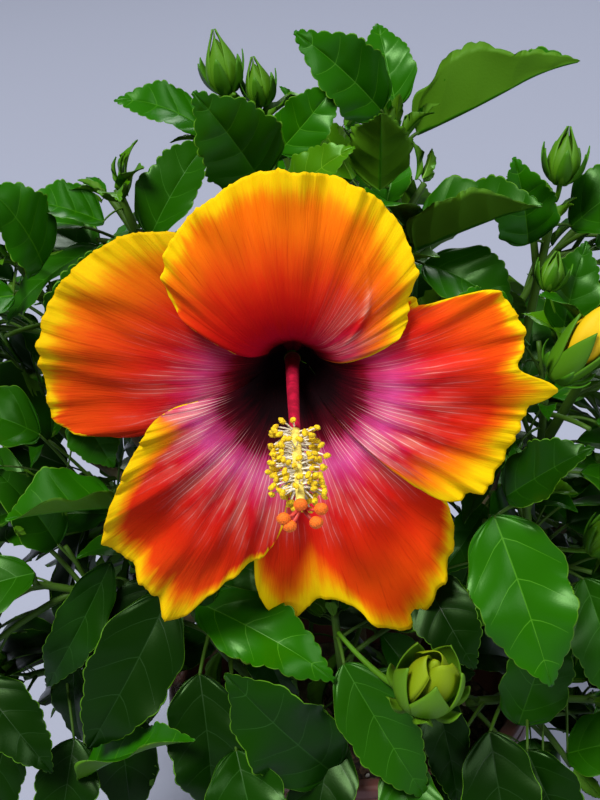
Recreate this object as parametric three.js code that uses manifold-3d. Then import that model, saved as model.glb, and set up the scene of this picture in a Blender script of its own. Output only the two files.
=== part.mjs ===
// A hibiscus shrub with one open bloom, in a plain tapered pot. Millimetres, +Z up.
// The origin is the centre of the pot's flat underside, and the bloom faces -Y.
import * as THREE from 'three';
import { mergeVertices } from 'three/addons/utils/BufferGeometryUtils.js';
import Module from 'manifold-3d';

const wasm = await Module();
wasm.setup();
const { Manifold } = wasm;

// ---- driving dimensions ----
const CLEARANCE = 0.3;
const GRID = 0.004;

const POT_HEIGHT = 133;
const POT_RIM_RADIUS = 75;
const POT_FOOT_RADIUS = 52;
const POT_WALL = 2.4;
const POT_BAND = 15;
const POT_SIDES = 30;
const DRAIN_RADIUS = 4.5;
const DRAIN_CIRCLE = 33;
const DRAIN_HOLES = 5;
const DRAIN_SIDES = 12;
const SOIL_LEVEL = 118;
const SOIL_CROWN_RADIUS = 34;
const SOIL_FALL = 5;

const FLARE = 0.75;
const BOUGH_TIP_RADIUS = 1.9;
const SHOOT_TIP_RADIUS = 1.4;
const TWIG_RADIUS = 1.2;
const PETIOLE_RADIUS = 0.85;
const PETIOLE_FOOT_RADIUS = 0.55;

const LEAF_THICKNESS = 1.3;
const LEAF_STATIONS = [0, 0.17, 0.47, 0.78, 1];
const LEAF_RINGS = [0.26, 0.66];
const LEAF_MARGIN_ROOM = 1.6;
const LEAF_FACE_ROOM = 1.7;
const LIMB_ROOM = 1.5;

const CROWN_CENTRE = new THREE.Vector3(-10, 12, 250);
const CROWN_REACH = new THREE.Vector3(176, 144, 156);
const CROWN_DROOP = 2.2;
const CROWN_FLOOR = 108;
const CROWN_FRONT = -66;

const GOLDEN_ANGLE = 2.39996;
const SEED_STEP = 7919;
const STEM_LEAF_LENGTH = 62;
const TWIG_LEAF_LENGTH = 52;
const LEAVES_ON_TWIG = 2;
const LEAF_TRIALS = 5;
const TRIAL_TURN = 1.3;
const TRIAL_SHRINK = 0.07;
const TWIG_START = 0.35;
const TWIG_SPREAD = 0.35;
const TWIG_LENGTH = 28;
const TWIG_LENGTH_SPREAD = 16;
const FOOT_PLACES = 60;
const FOOT_FIRST = 6;
const FOOT_LAST = 57;
const FEET_APART = 3;

const THROAT = new THREE.Vector3(-23, -90, 301);
const PETAL_THICKNESS = 1.2;
const PETAL_CLAW_RADIUS = 6;
const PETAL_CLAW_HALF = 29;
const PETAL_LAP_RADIUS = 18;
const PETAL_ROOM = 2.4;
const FUNNEL_DEPTH = 26;
const FUNNEL_FALL = 9;
const BOWL_RISE = 3;
const BOWL_SPAN = 70;
const RUFFLE_START = 35;
const RUFFLE_SPAN = 50;

const STAMENS = 12;
const STAMEN_LENGTH = 6.5;
const ANTHER_RADIUS = 1.3;
const FILAMENT_RADIUS = 0.35;
const STIGMAS = 5;
const STIGMA_RADIUS = 2.1;
const STIGMA_SPREAD = 4.4;
const STYLE_RADIUS = 0.5;
const CALYX_FACE = 63.2;
const CALYX_LENGTH = 15;
const CALYX_RADIUS = 6.6;

// ---- the plant's plan: every point is x, y, z ----
// name, foot x and y, tip, radius at the foot, radius at the tip
const STEMS = [
  ['stem_main', [2, 4], [0, 10, 238], 6.0, 3.4],
  ['stem_left', [-17, -3], [-56, -18, 204], 5.2, 2.8],
  ['stem_right', [19, -1], [54, -14, 208], 5.0, 2.8],
  ['stem_back', [4, 24], [2, 56, 206], 5.0, 2.8],
];

// name, the limb it leaves, how far along that limb, tip, rise of its arch
const BOUGHS = [
  ['bough_top_centre', 'stem_main', 0.94, [15, -16, 300], -6],
  ['bough_top_left', 'stem_main', 0.8, [-32, -18, 325], -4],
  ['bough_bloom', 'stem_main', 0.88, [-23, -36, 291], 2],
  ['bough_right_back', 'stem_main', 0.68, [62, 32, 276], -8],
  ['bough_upper_left', 'stem_left', 0.94, [-68, -30, 300], -10],
  ['bough_left_top', 'stem_left', 0.8, [-98, -22, 278], 0],
  ['bough_left_side', 'stem_left', 0.66, [-104, 6, 232], 6],
  ['bough_left_low', 'stem_left', 0.5, [-72, -42, 186], 4],
  ['bough_low_left', 'stem_left', 0.3, [-74, -30, 160], 6],
  ['bough_front_left', 'stem_main', 0.24, [-40, -46, 164], 4],
  ['bough_front_low', 'stem_main', 0.16, [-2, -50, 152], 4],
  ['bough_front_right', 'stem_right', 0.2, [44, -46, 152], 4],
  ['bough_right_low', 'stem_right', 0.55, [62, -42, 196], 4],
  ['bough_upper_right', 'stem_right', 0.86, [62, -14, 278], -10],
  ['bough_right_side', 'stem_right', 0.62, [100, 4, 206], 6],
  ['bough_back_top', 'stem_back', 0.84, [-12, 46, 292], -8],
  ['bough_back_left', 'stem_back', 0.66, [-76, 54, 224], 8],
  ['bough_back_right', 'stem_back', 0.72, [72, 58, 226], 8],
  ['bough_back_low_left', 'stem_back', 0.34, [-58, 56, 166], 6],
  ['bough_back_low_right', 'stem_back', 0.42, [64, 50, 168], 6],
  ['bough_back_low', 'stem_back', 0.24, [0, 76, 160], 6],
];

// name, the limb whose tip it grows from, tip, rise of its arch, leaves on its stem, side twigs
const SHOOTS = [
  ['top_centre', 'bough_top_centre', [14, 4, 366], -3, 5, 1],
  ['top_left', 'bough_top_left', [-44, -14, 384], 3, 6, 1],
  ['centre', 'stem_main', [-14, 12, 336], 0, 6, 1],
  ['right_back', 'bough_right_back', [92, 34, 322], 8, 6, 2],
  ['upper_left', 'bough_upper_left', [-86, -32, 356], 4, 5, 1],
  ['left_top', 'bough_left_top', [-122, -38, 330], 6, 5, 1],
  ['left_mid', 'stem_left', [-106, -60, 256], 0, 4, 1],
  ['left_side', 'bough_left_side', [-140, 12, 262], 8, 7, 2],
  ['left_low', 'bough_left_low', [-120, -54, 208], 8, 5, 1],
  ['low_left', 'bough_low_left', [-128, -38, 158], 8, 6, 1],
  ['front_left', 'bough_front_left', [-62, -62, 206], 3, 2, 0],
  ['front_low', 'bough_front_low', [-8, -68, 204], 3, 2, 0],
  ['front_right', 'bough_front_right', [92, -54, 158], 6, 5, 1],
  ['right_low', 'bough_right_low', [58, -66, 252], 4, 3, 1],
  ['right_mid', 'stem_right', [84, -46, 294], 6, 5, 1],
  ['upper_right', 'bough_upper_right', [72, -16, 346], 4, 6, 1],
  ['right_side', 'bough_right_side', [120, 8, 246], 8, 7, 2],
  ['back_top', 'bough_back_top', [-30, 50, 354], 6, 7, 2],
  ['back_left', 'bough_back_left', [-106, 72, 272], 10, 8, 2],
  ['back_mid', 'stem_back', [6, 98, 286], 8, 7, 2],
  ['back_right', 'bough_back_right', [92, 74, 272], 10, 8, 2],
  ['back_low_left', 'bough_back_low_left', [-100, 82, 178], 8, 7, 2],
  ['back_low_right', 'bough_back_low_right', [96, 72, 178], 8, 7, 2],
  ['back_low', 'bough_back_low', [2, 108, 190], 8, 6, 2],
];

// the leaves that make the front and the outline, placed singly:
// shoot, base and tip of the blade, width, the way its upper face looks, fold, arch
const VIEWER = [0, -0.93, 0.37];
const UP = [0, 0, 1];
const UP_FRONT = [0, -0.6, 0.8];
const UP_BACK = [0, 0.6, 0.8];
const AWAY = [0, 0.9, 0.35];
const PLACED_LEAVES = [
  ['top_centre', [9, -4, 373], [-22, -22, 404], 25, [0.3, 0.8, 0.5], 0.5, 0.06],
  ['top_centre', [15, 11, 371], [8, 27, 400], 20, VIEWER, 0.25, 0.05],
  ['top_centre', [23, 1, 367], [76, -12, 392], 24, UP_BACK, 0.25, 0.04],
  ['top_centre', [8, -18, 348], [7, -38, 380], 24, AWAY, 0.3, 0.03],
  ['top_centre', [22, -34, 331], [64, -52, 350], 30, UP, 0.5, 0.06],
  ['top_centre', [24, -24, 322], [57, -38, 303], 26, UP_FRONT, 0.35, 0.14],
  ['top_left', [-34, -38, 356], [-54, -60, 390], 30, VIEWER, 0.2, 0.06],
  ['top_left', [-52, -16, 368], [-84, -24, 382], 20, UP_FRONT, 0.3, 0.08],
  ['top_left', [-28, -22, 362], [-8, -22, 386], 20, VIEWER, 0.3, 0.05],
  ['top_left', [-26, -30, 346], [-2, -38, 368], 20, UP_FRONT, 0.3, 0.08],
  ['upper_left', [-72, -46, 338], [-50, -36, 372], 24, UP_FRONT, 0.5, 0.05],
  ['upper_left', [-88, -40, 342], [-106, -38, 372], 22, VIEWER, 0.4, 0.05],
  ['left_top', [-108, -52, 330], [-122, -72, 364], 28, UP_FRONT, 0.25, 0.08],
  ['left_top', [-104, -58, 302], [-82, -62, 342], 24, VIEWER, 0.35, 0.05],
  ['left_top', [-117, -60, 322], [-156, -76, 316], 24, UP_FRONT, 0.3, 0.08],
  ['left_mid', [-84, -74, 252], [-126, -96, 248], 26, UP_BACK, 0.45, 0.1],
  ['left_mid', [-96, -67, 283], [-84, -78, 266], 18, VIEWER, 0.2, 0.06],
  ['left_mid', [-110, -68, 274], [-146, -80, 290], 24, UP_FRONT, 0.35, 0.08],
  ['left_low', [-68, -62, 208], [-99, -80, 152], 32, VIEWER, 0.15, 0.08],
  ['left_low', [-90, -52, 216], [-117, -56, 164], 20, VIEWER, 0.4, 0.1],
  ['left_low', [-116, -64, 218], [-160, -72, 200], 26, UP_FRONT, 0.25, 0.1],
  ['low_left', [-142, -60, 172], [-112, -78, 142], 24, UP_FRONT, 0.3, 0.08],
  ['low_left', [-98, -54, 132], [-66, -68, 153], 22, [0, -0.4, 0.9], 0.3, 0.05],
  ['low_left', [-132, -56, 146], [-142, -66, 108], 22, VIEWER, 0.25, 0.1],
  ['front_left', [-60, -70, 214], [-10, -94, 194], 24, [0.2, -0.75, 0.65], 0.2, 0.08],
  ['front_left', [-57, -74, 182], [-52, -90, 130], 30, VIEWER, 0.2, 0.08],
  ['front_left', [-44, -66, 212], [-14, -74, 212], 16, UP_FRONT, 0.2, 0.1],
  ['front_low', [-5, -80, 190], [25, -98, 144], 26, VIEWER, 0.25, 0.06],
  ['front_low', [-8, -70, 164], [-50, -94, 184], 30, VIEWER, 0.15, 0.06],
  ['front_low', [-16, -64, 156], [-8, -84, 136], 16, VIEWER, 0.2, 0.05],
  ['front_right', [28, -70, 176], [38, -86, 132], 18, VIEWER, 0.25, 0.08],
  ['front_right', [62, -62, 152], [75, -58, 200], 27, VIEWER, 0.3, 0.05],
  ['front_right', [80, -66, 142], [114, -78, 158], 26, UP_FRONT, 0.25, 0.08],
  ['front_right', [72, -66, 138], [52, -84, 118], 24, VIEWER, 0.2, 0.06],
  ['right_low', [50, -80, 256], [76, -92, 280], 24, UP_FRONT, 0.5, 0.05],
  ['right_low', [46, -82, 250], [66, -106, 196], 35, VIEWER, 0.16, 0.05],
  ['right_low', [82, -64, 216], [96, -80, 172], 26, VIEWER, 0.25, 0.08],
  ['right_low', [24, -62, 216], [42, -84, 190], 24, VIEWER, 0.2, 0.08],
  ['right_mid', [72, -44, 302], [80, -36, 334], 20, VIEWER, 0.3, 0.05],
  ['right_mid', [92, -50, 284], [132, -62, 272], 27, UP_FRONT, 0.25, 0.12],
  ['upper_right', [62, -20, 328], [54, -32, 362], 24, VIEWER, 0.3, 0.05],
  ['upper_right', [78, -12, 332], [110, -16, 356], 26, UP_FRONT, 0.25, 0.08],
];

// shoot, base and tip of the bud, radius
const BUDS = [
  ['top_left', [-50, -10, 386], [-52, -10, 408], 5.4],
  ['top_left', [-40, -10, 384], [-35, -8, 399], 4.2],
  ['upper_right', [72, -20, 350], [74, -20, 371], 5.8],
  ['right_mid', [80, -58, 292], [91, -62, 324], 6.6],
  ['right_mid', [66, -44, 304], [70, -42, 316], 3.8],
  ['right_low', [84, -64, 226], [96, -68, 246], 5.6],
  ['left_top', [-126, -46, 338], [-134, -48, 350], 3.6],
  ['front_low', [11, -88, 192], [27, -114, 203], 11],
];

// outline of each petal round the throat: degrees from +X towards +Z, and radius
const PETALS = [
  {
    name: 'petal_top',
    claw: 88,
    layer: 1,
    outline: [
      [22, 20], [25, 35], [31, 43], [40, 48], [45, 56], [56, 63], [68, 69], [81, 71], [93, 73],
      [104, 70], [119, 66], [129, 62], [138, 55], [146, 42], [150, 20],
    ],
  },
  {
    name: 'petal_left',
    claw: 160,
    layer: -1,
    outline: [
      [118, 26], [121, 48], [126, 63], [136, 71], [147, 77], [157, 82], [167, 84], [177, 84],
      [184, 82], [191, 78], [198, 66], [201, 52], [199, 36], [196, 20],
    ],
  },
  {
    name: 'petal_low_left',
    claw: 232,
    layer: 1,
    outline: [
      [188, 20], [189, 38], [194, 47], [203, 56], [212, 69], [217, 78], [224, 86], [233, 88],
      [239, 91], [246, 93], [251, 78], [257, 67], [262, 60], [267, 48], [269, 26],
    ],
  },
  {
    name: 'petal_low_right',
    claw: 304,
    layer: -1.4,
    outline: [
      [252, 26], [255, 46], [258, 63], [261, 79], [268, 87], [276, 83], [283, 85], [290, 98],
      [296, 99], [303, 95], [309, 90], [314, 81], [320, 68], [327, 50], [334, 26],
    ],
  },
  {
    name: 'petal_right',
    claw: 16,
    layer: 0,
    outline: [
      [-43, 22], [-42, 40], [-42, 56], [-38, 68], [-30, 75], [-16, 77], [-6, 79], [0, 83],
      [5, 78], [16, 77], [26, 73], [33, 64], [38, 52], [44, 38], [48, 22],
    ],
  },
];

const vec = (values) => new THREE.Vector3(...values);
const WORLD_UP = new THREE.Vector3(0, 0, 1);
const WORLD_X = new THREE.Vector3(1, 0, 0);

// ---- solids ----
// Every closed geometry class is shaped by moving its vertices, then handed to the joiner.
function toSolid(geometry) {
  return new Manifold(new wasm.Mesh({
    numProp: 3,
    vertProperties: new Float32Array(geometry.attributes.position.array),
    triVerts: new Uint32Array(geometry.index.array),
  }));
}

function signedVolume(geometry) {
  const [a, b, c] = [new THREE.Vector3(), new THREE.Vector3(), new THREE.Vector3()];
  const { position } = geometry.attributes;
  const { array } = geometry.index;
  let volume = 0;
  for (let i = 0; i < array.length; i += 3) {
    a.fromBufferAttribute(position, array[i]);
    b.fromBufferAttribute(position, array[i + 1]);
    c.fromBufferAttribute(position, array[i + 2]);
    volume += a.dot(b.cross(c)) / 6;
  }
  return volume;
}

function shaped(source, place) {
  source.deleteAttribute('normal');
  source.deleteAttribute('uv');
  const geometry = mergeVertices(source, 1e-5);
  const { position } = geometry.attributes;
  const point = new THREE.Vector3();
  for (let i = 0; i < position.count; i += 1) {
    const placed = place(point.fromBufferAttribute(position, i).clone());
    position.setXYZ(i, placed.x, placed.y, placed.z);
  }
  if (signedVolume(geometry) < 0) {
    geometry.index.array.reverse();
  }
  return toSolid(geometry);
}

function toGeometry(solid) {
  const { vertProperties, triVerts } = solid.getMesh();
  const geometry = new THREE.BufferGeometry();
  geometry.setAttribute('position', new THREE.BufferAttribute(vertProperties, 3));
  geometry.setIndex(new THREE.BufferAttribute(triVerts, 1));
  return geometry;
}

// The one main body of a solid, on a fine grid: loose scraps and sealed pockets go.
function mainBody(solid) {
  const geometry = toGeometry(solid);
  const { array } = geometry.attributes.position;
  array.forEach((value, i) => {
    array[i] = Math.round(value / GRID) * GRID;
  });
  const bodies = toSolid(mergeVertices(geometry, 1e-3)).decompose();
  return bodies.reduce((best, body) => (body.volume() > best.volume() ? body : best));
}

function toMesh(name, solid, finish) {
  const geometry = toGeometry(mainBody(solid));
  geometry.computeVertexNormals();
  const mesh = new THREE.Mesh(geometry, new THREE.MeshStandardMaterial(finish));
  mesh.name = name;
  return mesh;
}

// ---- limbs ----
// A limb is an arched curve with a radius at each end; round it stand two square directions.
function makeLimb(name, root, tip, control, rootRadius, tipRadius, flare = 0) {
  const curve = new THREE.QuadraticBezierCurve3(root, control, tip);
  const chord = tip.clone().sub(root).normalize();
  const helper = Math.abs(chord.z) > 0.9 ? WORLD_X : WORLD_UP;
  const reference = chord.clone().cross(helper).normalize();
  const radius = (t) => (rootRadius + (tipRadius - rootRadius) * t) * (1 + flare * Math.exp(-20 * t));
  return { name, curve, reference, radius };
}

function archedControl(root, tip, arch) {
  return root.clone().lerp(tip, 0.5).add(new THREE.Vector3(0, 0, 2 * arch));
}

function limbPoint(limb, t, angle, radius) {
  const tangent = limb.curve.getTangent(t);
  const across = tangent.clone().cross(limb.reference).normalize();
  const over = tangent.clone().cross(across);
  return limb.curve.getPoint(t)
    .addScaledVector(across, Math.cos(angle) * radius)
    .addScaledVector(over, Math.sin(angle) * radius);
}

function limbSolid(limb, sides, steps, room = 0) {
  return shaped(new THREE.CylinderGeometry(1, 1, 1, sides, steps), (point) => {
    const t = point.y + 0.5;
    const spread = Math.hypot(point.x, point.z);
    const placed = limbPoint(limb, t, Math.atan2(point.z, point.x), spread * (limb.radius(t) + room));
    const end = Math.round(2 * t - 1) * (t < 0.01 || t > 0.99 ? 1 : 0);
    return placed.addScaledVector(limb.curve.getTangent(t), end * room);
  });
}

// ---- room between leaves: closed hulls, and the thin sheets tested against them ----
function prism(rings, start, end) {
  const triangles = [];
  const edges = [];
  const sides = rings[0].length;
  rings.forEach((ring, i) => {
    for (let k = 0; k < sides; k += 1) {
      const [a, b] = [ring[k], ring[(k + 1) % sides]];
      edges.push([a, b]);
      if (i === 0) {
        triangles.push([start, a, b]);
        edges.push([start, a]);
      }
      if (i === rings.length - 1) {
        triangles.push([end, a, b]);
        edges.push([end, a]);
      } else {
        const [c, d] = [rings[i + 1][k], rings[i + 1][(k + 1) % sides]];
        triangles.push([a, b, c], [b, d, c]);
        edges.push([a, c], [b, c]);
      }
    }
  });
  return bounded({ triangles, edges });
}

function bounded(shape) {
  const box = new THREE.Box3();
  shape.edges.forEach(([a, b]) => box.expandByPoint(a).expandByPoint(b));
  return { ...shape, box };
}

function limbHull(limb, steps, room) {
  const rings = [];
  for (let i = 0; i <= steps; i += 1) {
    const t = i / steps;
    const ring = [];
    for (let k = 0; k < 5; k += 1) {
      ring.push(limbPoint(limb, t, (k * 2 * Math.PI) / 5, (limb.radius(t) + room) * 1.15));
    }
    rings.push(ring);
  }
  const start = limb.curve.getPoint(0).addScaledVector(limb.curve.getTangent(0), -room);
  const end = limb.curve.getPoint(1).addScaledVector(limb.curve.getTangent(1), room);
  return prism(rings, start, end);
}

function crosses(p, q, [a, b, c]) {
  const [dx, dy, dz] = [q.x - p.x, q.y - p.y, q.z - p.z];
  const [e1x, e1y, e1z] = [b.x - a.x, b.y - a.y, b.z - a.z];
  const [e2x, e2y, e2z] = [c.x - a.x, c.y - a.y, c.z - a.z];
  const hx = dy * e2z - dz * e2y;
  const hy = dz * e2x - dx * e2z;
  const hz = dx * e2y - dy * e2x;
  const det = e1x * hx + e1y * hy + e1z * hz;
  if (Math.abs(det) < 1e-9) {
    return false;
  }
  const [sx, sy, sz] = [p.x - a.x, p.y - a.y, p.z - a.z];
  const u = (sx * hx + sy * hy + sz * hz) / det;
  const kx = sy * e1z - sz * e1y;
  const ky = sz * e1x - sx * e1z;
  const kz = sx * e1y - sy * e1x;
  const v = (dx * kx + dy * ky + dz * kz) / det;
  const t = (e2x * kx + e2y * ky + e2z * kz) / det;
  return u >= 0 && v >= 0 && u + v <= 1 && t >= 0 && t <= 1;
}

function touches(sheet, hull) {
  return sheet.box.intersectsBox(hull.box)
    && (sheet.edges.some(([p, q]) => hull.triangles.some((face) => crosses(p, q, face)))
      || hull.edges.some(([p, q]) => sheet.triangles.some((face) => crosses(p, q, face))));
}

// ---- leaves ----
// u runs from base to tip, across from -1 to 1 over the width, lift off the face.
function bladeOutline(u) {
  return Math.sin(Math.PI * u ** 0.75) ** 0.85;
}

function bladeFrame(leaf) {
  const span = leaf.tip.clone().sub(leaf.base);
  const along = span.clone().normalize();
  const normal = leaf.face.clone().addScaledVector(along, -leaf.face.dot(along)).normalize();
  return { span, length: span.length(), normal, side: along.clone().cross(normal) };
}

// The blade's two square directions, turned to stand square to its stalk.
function footFrame(leaf, tangent) {
  const { normal, side } = bladeFrame(leaf);
  if (Math.abs(normal.dot(tangent)) < 0.9) {
    const upright = normal.clone().addScaledVector(tangent, -normal.dot(tangent)).normalize();
    return { normal: upright, side: tangent.clone().cross(upright) };
  }
  const level = side.clone().addScaledVector(tangent, -side.dot(tangent)).normalize();
  return { normal: level.clone().cross(tangent), side: level };
}

function bladePoint(leaf, u, across, lift, margin = 0) {
  const { span, length, normal, side } = bladeFrame(leaf);
  const half = (leaf.width / 2) * bladeOutline(u) + margin;
  return leaf.base.clone()
    .addScaledVector(span, u)
    .addScaledVector(side, across * half * Math.cos(leaf.fold))
    .addScaledVector(
      normal,
      leaf.arch * length * 4 * u * (1 - u) + Math.abs(across) * half * Math.sin(leaf.fold) + lift,
    );
}

// Petiole and blade are one loft of four-sided rings: foot, end of the petiole, then the blade.
function leafSolid(leaf) {
  const petiole = petioleOf(leaf);
  const rings = LEAF_RINGS.length + 3;
  return shaped(new THREE.SphereGeometry(1, 4, rings), (point) => {
    const ring = Math.round((Math.acos(THREE.MathUtils.clamp(point.y, -1, 1)) / Math.PI) * rings);
    if (ring === 0) {
      return limbPoint(petiole, 0, 0, 0).addScaledVector(petiole.curve.getTangent(0), -0.3);
    }
    if (ring === rings) {
      return leaf.tip.clone();
    }
    const [across, over] = [Math.sign(Math.round(point.x * 9)), Math.sign(Math.round(point.z * 9))];
    if (ring < 3) {
      const at = ring === 1 ? 0 : 0.94;
      const { normal, side } = footFrame(leaf, petiole.curve.getTangent(at));
      const radius = ring === 1 ? PETIOLE_FOOT_RADIUS : PETIOLE_RADIUS;
      return petiole.curve.getPoint(at)
        .addScaledVector(side, across * radius)
        .addScaledVector(normal, over * radius);
    }
    return bladePoint(leaf, LEAF_RINGS[ring - 3], across, over * (LEAF_THICKNESS / 2));
  });
}

function petioleOf(leaf) {
  const end = bladePoint(leaf, 0.1, 0, 0);
  const knee = leaf.foot.clone().lerp(end, 0.55).add(new THREE.Vector3(0, 0, 2));
  return makeLimb('petiole', leaf.foot, end, knee, PETIOLE_RADIUS, PETIOLE_RADIUS * 0.85);
}

function bladeSheet(leaf) {
  const rows = LEAF_STATIONS.slice(1, -1)
    .map((u) => [-1, 0, 1].map((across) => bladePoint(leaf, u, across, 0)));
  const [base, tip] = [bladePoint(leaf, 0, 0, 0), bladePoint(leaf, 1, 0, 0)];
  const triangles = [];
  const edges = [];
  rows.forEach((row, i) => {
    edges.push([row[0], row[1]], [row[1], row[2]]);
    const next = rows[i + 1];
    for (let k = 0; k < 2 && next; k += 1) {
      triangles.push([row[k], row[k + 1], next[k]], [row[k + 1], next[k + 1], next[k]]);
      edges.push([row[k + 1], next[k]]);
    }
    for (let k = 0; k < 3 && next; k += 1) {
      edges.push([row[k], next[k]]);
    }
  });
  [[base, rows[0]], [tip, rows[rows.length - 1]]].forEach(([end, row]) => {
    triangles.push([end, row[0], row[1]], [end, row[1], row[2]]);
    row.forEach((point) => edges.push([end, point]));
  });
  return bounded({ triangles, edges });
}

function bladeHull(leaf) {
  const corners = [[1, 1], [0, 1], [-1, 1], [-1, -1], [0, -1], [1, -1]];
  const rings = LEAF_STATIONS.slice(1, -1).map((u) => corners.map(
    ([across, over]) => bladePoint(leaf, u, across, over * LEAF_FACE_ROOM, LEAF_MARGIN_ROOM),
  ));
  const along = leaf.tip.clone().sub(leaf.base).normalize();
  const start = leaf.base.clone().addScaledVector(along, -LEAF_MARGIN_ROOM);
  const end = leaf.tip.clone().addScaledVector(along, LEAF_MARGIN_ROOM);
  return prism(rings, start, end);
}

function petioleSheet(leaf) {
  const petiole = petioleOf(leaf);
  const points = [0.25, 0.5, 0.75, 1].map((t) => petiole.curve.getPoint(t));
  return bounded({ triangles: [], edges: points.slice(1).map((point, i) => [points[i], point]) });
}

// ---- buds ----
function budSolid(bud) {
  const axis = bud.tip.clone().sub(bud.base);
  const along = axis.clone().normalize();
  const side = along.clone().cross(Math.abs(along.z) > 0.9 ? WORLD_X : WORLD_UP).normalize();
  const over = along.clone().cross(side);
  return shaped(new THREE.SphereGeometry(1, 6, 4), (point) => {
    const u = Math.acos(THREE.MathUtils.clamp(-point.y, -1, 1)) / Math.PI;
    const spread = Math.max(Math.hypot(point.x, point.z), 1e-6);
    const radius = bud.radius * Math.sin(Math.PI * u ** 0.8) ** 0.7;
    return bud.base.clone()
      .addScaledVector(axis, u)
      .addScaledVector(side, (radius * point.x) / spread)
      .addScaledVector(over, (radius * point.z) / spread);
  });
}

function budHull(bud) {
  const stalk = makeLimb(
    'room', bud.base, bud.tip, bud.base.clone().lerp(bud.tip, 0.5), bud.radius, bud.radius * 0.7,
  );
  return limbHull(stalk, 2, LIMB_ROOM);
}

// ---- petals ----
function outlineRadius(outline, degrees) {
  const last = outline.length - 1;
  let k = 0;
  while (k < last - 1 && degrees > outline[k + 1][0]) {
    k += 1;
  }
  const [from, to] = [outline[k], outline[k + 1]];
  return from[1] + ((to[1] - from[1]) * (degrees - from[0])) / (to[0] - from[0]);
}

function clawDistance(petal, degrees) {
  return Math.abs(((degrees - petal.claw + 540) % 360) - 180);
}

// Height of the corolla towards the front at an angle and radius round the throat.
function corollaHeight(petal, degrees, radius) {
  const angle = THREE.MathUtils.degToRad(degrees);
  const funnel = -FUNNEL_DEPTH * Math.exp(-(radius - PETAL_CLAW_RADIUS) / FUNNEL_FALL);
  const bowl = BOWL_RISE * Math.sin((Math.PI * radius) / BOWL_SPAN);
  const outer = Math.max(radius - RUFFLE_START, 0) / RUFFLE_SPAN;
  const ruffle = 2.4 * outer * Math.sin(9 * angle + 0.6) + 1.4 * outer * Math.sin(17 * angle);
  const lapped = THREE.MathUtils.smoothstep(radius, 8, PETAL_LAP_RADIUS);
  const layer = petal.layer * (3.2 * lapped + 1.4 * outer);
  return funnel + bowl + ruffle + layer - 3 * outer * outer;
}

function petalPoint(petal, sweep, reach, lift) {
  const { outline } = petal;
  const degrees = outline[0][0] + (outline[outline.length - 1][0] - outline[0][0]) * sweep;
  const outer = outlineRadius(outline, degrees);
  const beyondClaw = THREE.MathUtils.smoothstep(
    clawDistance(petal, degrees), PETAL_CLAW_HALF, PETAL_CLAW_HALF + 4,
  );
  const inner = Math.min(
    PETAL_CLAW_RADIUS + beyondClaw * (PETAL_LAP_RADIUS - PETAL_CLAW_RADIUS), 0.8 * outer,
  );
  const radius = inner + (outer - inner) * reach;
  const angle = THREE.MathUtils.degToRad(degrees);
  return new THREE.Vector3(
    THROAT.x + radius * Math.cos(angle),
    THROAT.y - corollaHeight(petal, degrees, radius) - lift,
    THROAT.z + radius * Math.sin(angle),
  );
}

function petalSolid(petal) {
  return shaped(new THREE.BoxGeometry(1, 1, 1, 13, 3, 1), (point) => petalPoint(
    petal, point.x + 0.5, (point.y + 0.5) ** 1.3, point.z * PETAL_THICKNESS,
  ));
}

function petalHull(petal) {
  const rings = [];
  for (let i = 0; i <= 9; i += 1) {
    const front = [0.1, 0.4, 0.7, 1].map((reach) => petalPoint(petal, i / 9, reach, PETAL_ROOM));
    const back = [1, 0.7, 0.4, 0.1].map((reach) => petalPoint(petal, i / 9, reach, -PETAL_ROOM));
    rings.push([...front, ...back]);
  }
  const middle = (sweep) => petalPoint(petal, sweep, 0.5, 0);
  return prism(rings, middle(0), middle(1));
}

// ---- the staminal column, with its stamens and five stigma pads ----
const COLUMN = makeLimb(
  'column', new THREE.Vector3(-23, -63.5, 300), new THREE.Vector3(-20, -150, 286),
  new THREE.Vector3(-23, -112, 303), 2.6, 1.6,
);

function rodSolid(from, to, radius) {
  const rod = makeLimb('rod', from, to, from.clone().lerp(to, 0.5), radius, radius);
  return limbSolid(rod, 3, 1);
}

function ballSolid(centre, radius, across, down) {
  return shaped(
    new THREE.SphereGeometry(radius, across, down), (point) => point.add(centre),
  );
}

function columnSolid() {
  const parts = [limbSolid(COLUMN, 6, 6)];
  for (let i = 0; i < STAMENS; i += 1) {
    const t = 0.5 + (0.46 * i) / (STAMENS - 1);
    const angle = i * GOLDEN_ANGLE;
    const root = limbPoint(COLUMN, t, angle, 0.6);
    const tip = limbPoint(COLUMN, t + 0.03, angle, STAMEN_LENGTH);
    parts.push(rodSolid(root, tip, FILAMENT_RADIUS), ballSolid(tip, ANTHER_RADIUS, 4, 2));
  }
  const end = COLUMN.curve.getPoint(1);
  for (let i = 0; i < STIGMAS; i += 1) {
    const angle = (i * 2 * Math.PI) / STIGMAS + 0.3;
    const pad = end.clone().add(new THREE.Vector3(
      STIGMA_SPREAD * Math.cos(angle), -3.5, STIGMA_SPREAD * Math.sin(angle) - 1,
    ));
    parts.push(rodSolid(end, pad, STYLE_RADIUS), ballSolid(pad, STIGMA_RADIUS, 4, 3));
  }
  return Manifold.union(parts);
}

function columnHull() {
  return limbHull({ ...COLUMN, radius: () => STAMEN_LENGTH }, 4, 2.5);
}

// ---- calyx: a five-lobed cup behind the petals, on the bloom's stalk ----
function calyxSolid(stalk) {
  const cup = shaped(new THREE.CylinderGeometry(1, 1, 1, 10, 3), (point) => {
    const t = point.y + 0.5;
    const radius = CALYX_RADIUS * (0.45 + 0.55 * Math.sin(Math.PI * (0.25 + 0.5 * t)));
    return new THREE.Vector3(
      THROAT.x + radius * point.x,
      -CALYX_FACE + CALYX_LENGTH * (1 - t),
      THROAT.z - 1 + radius * point.z,
    );
  });
  return Manifold.union([cup, limbSolid(stalk, 6, 4)]);
}

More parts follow.
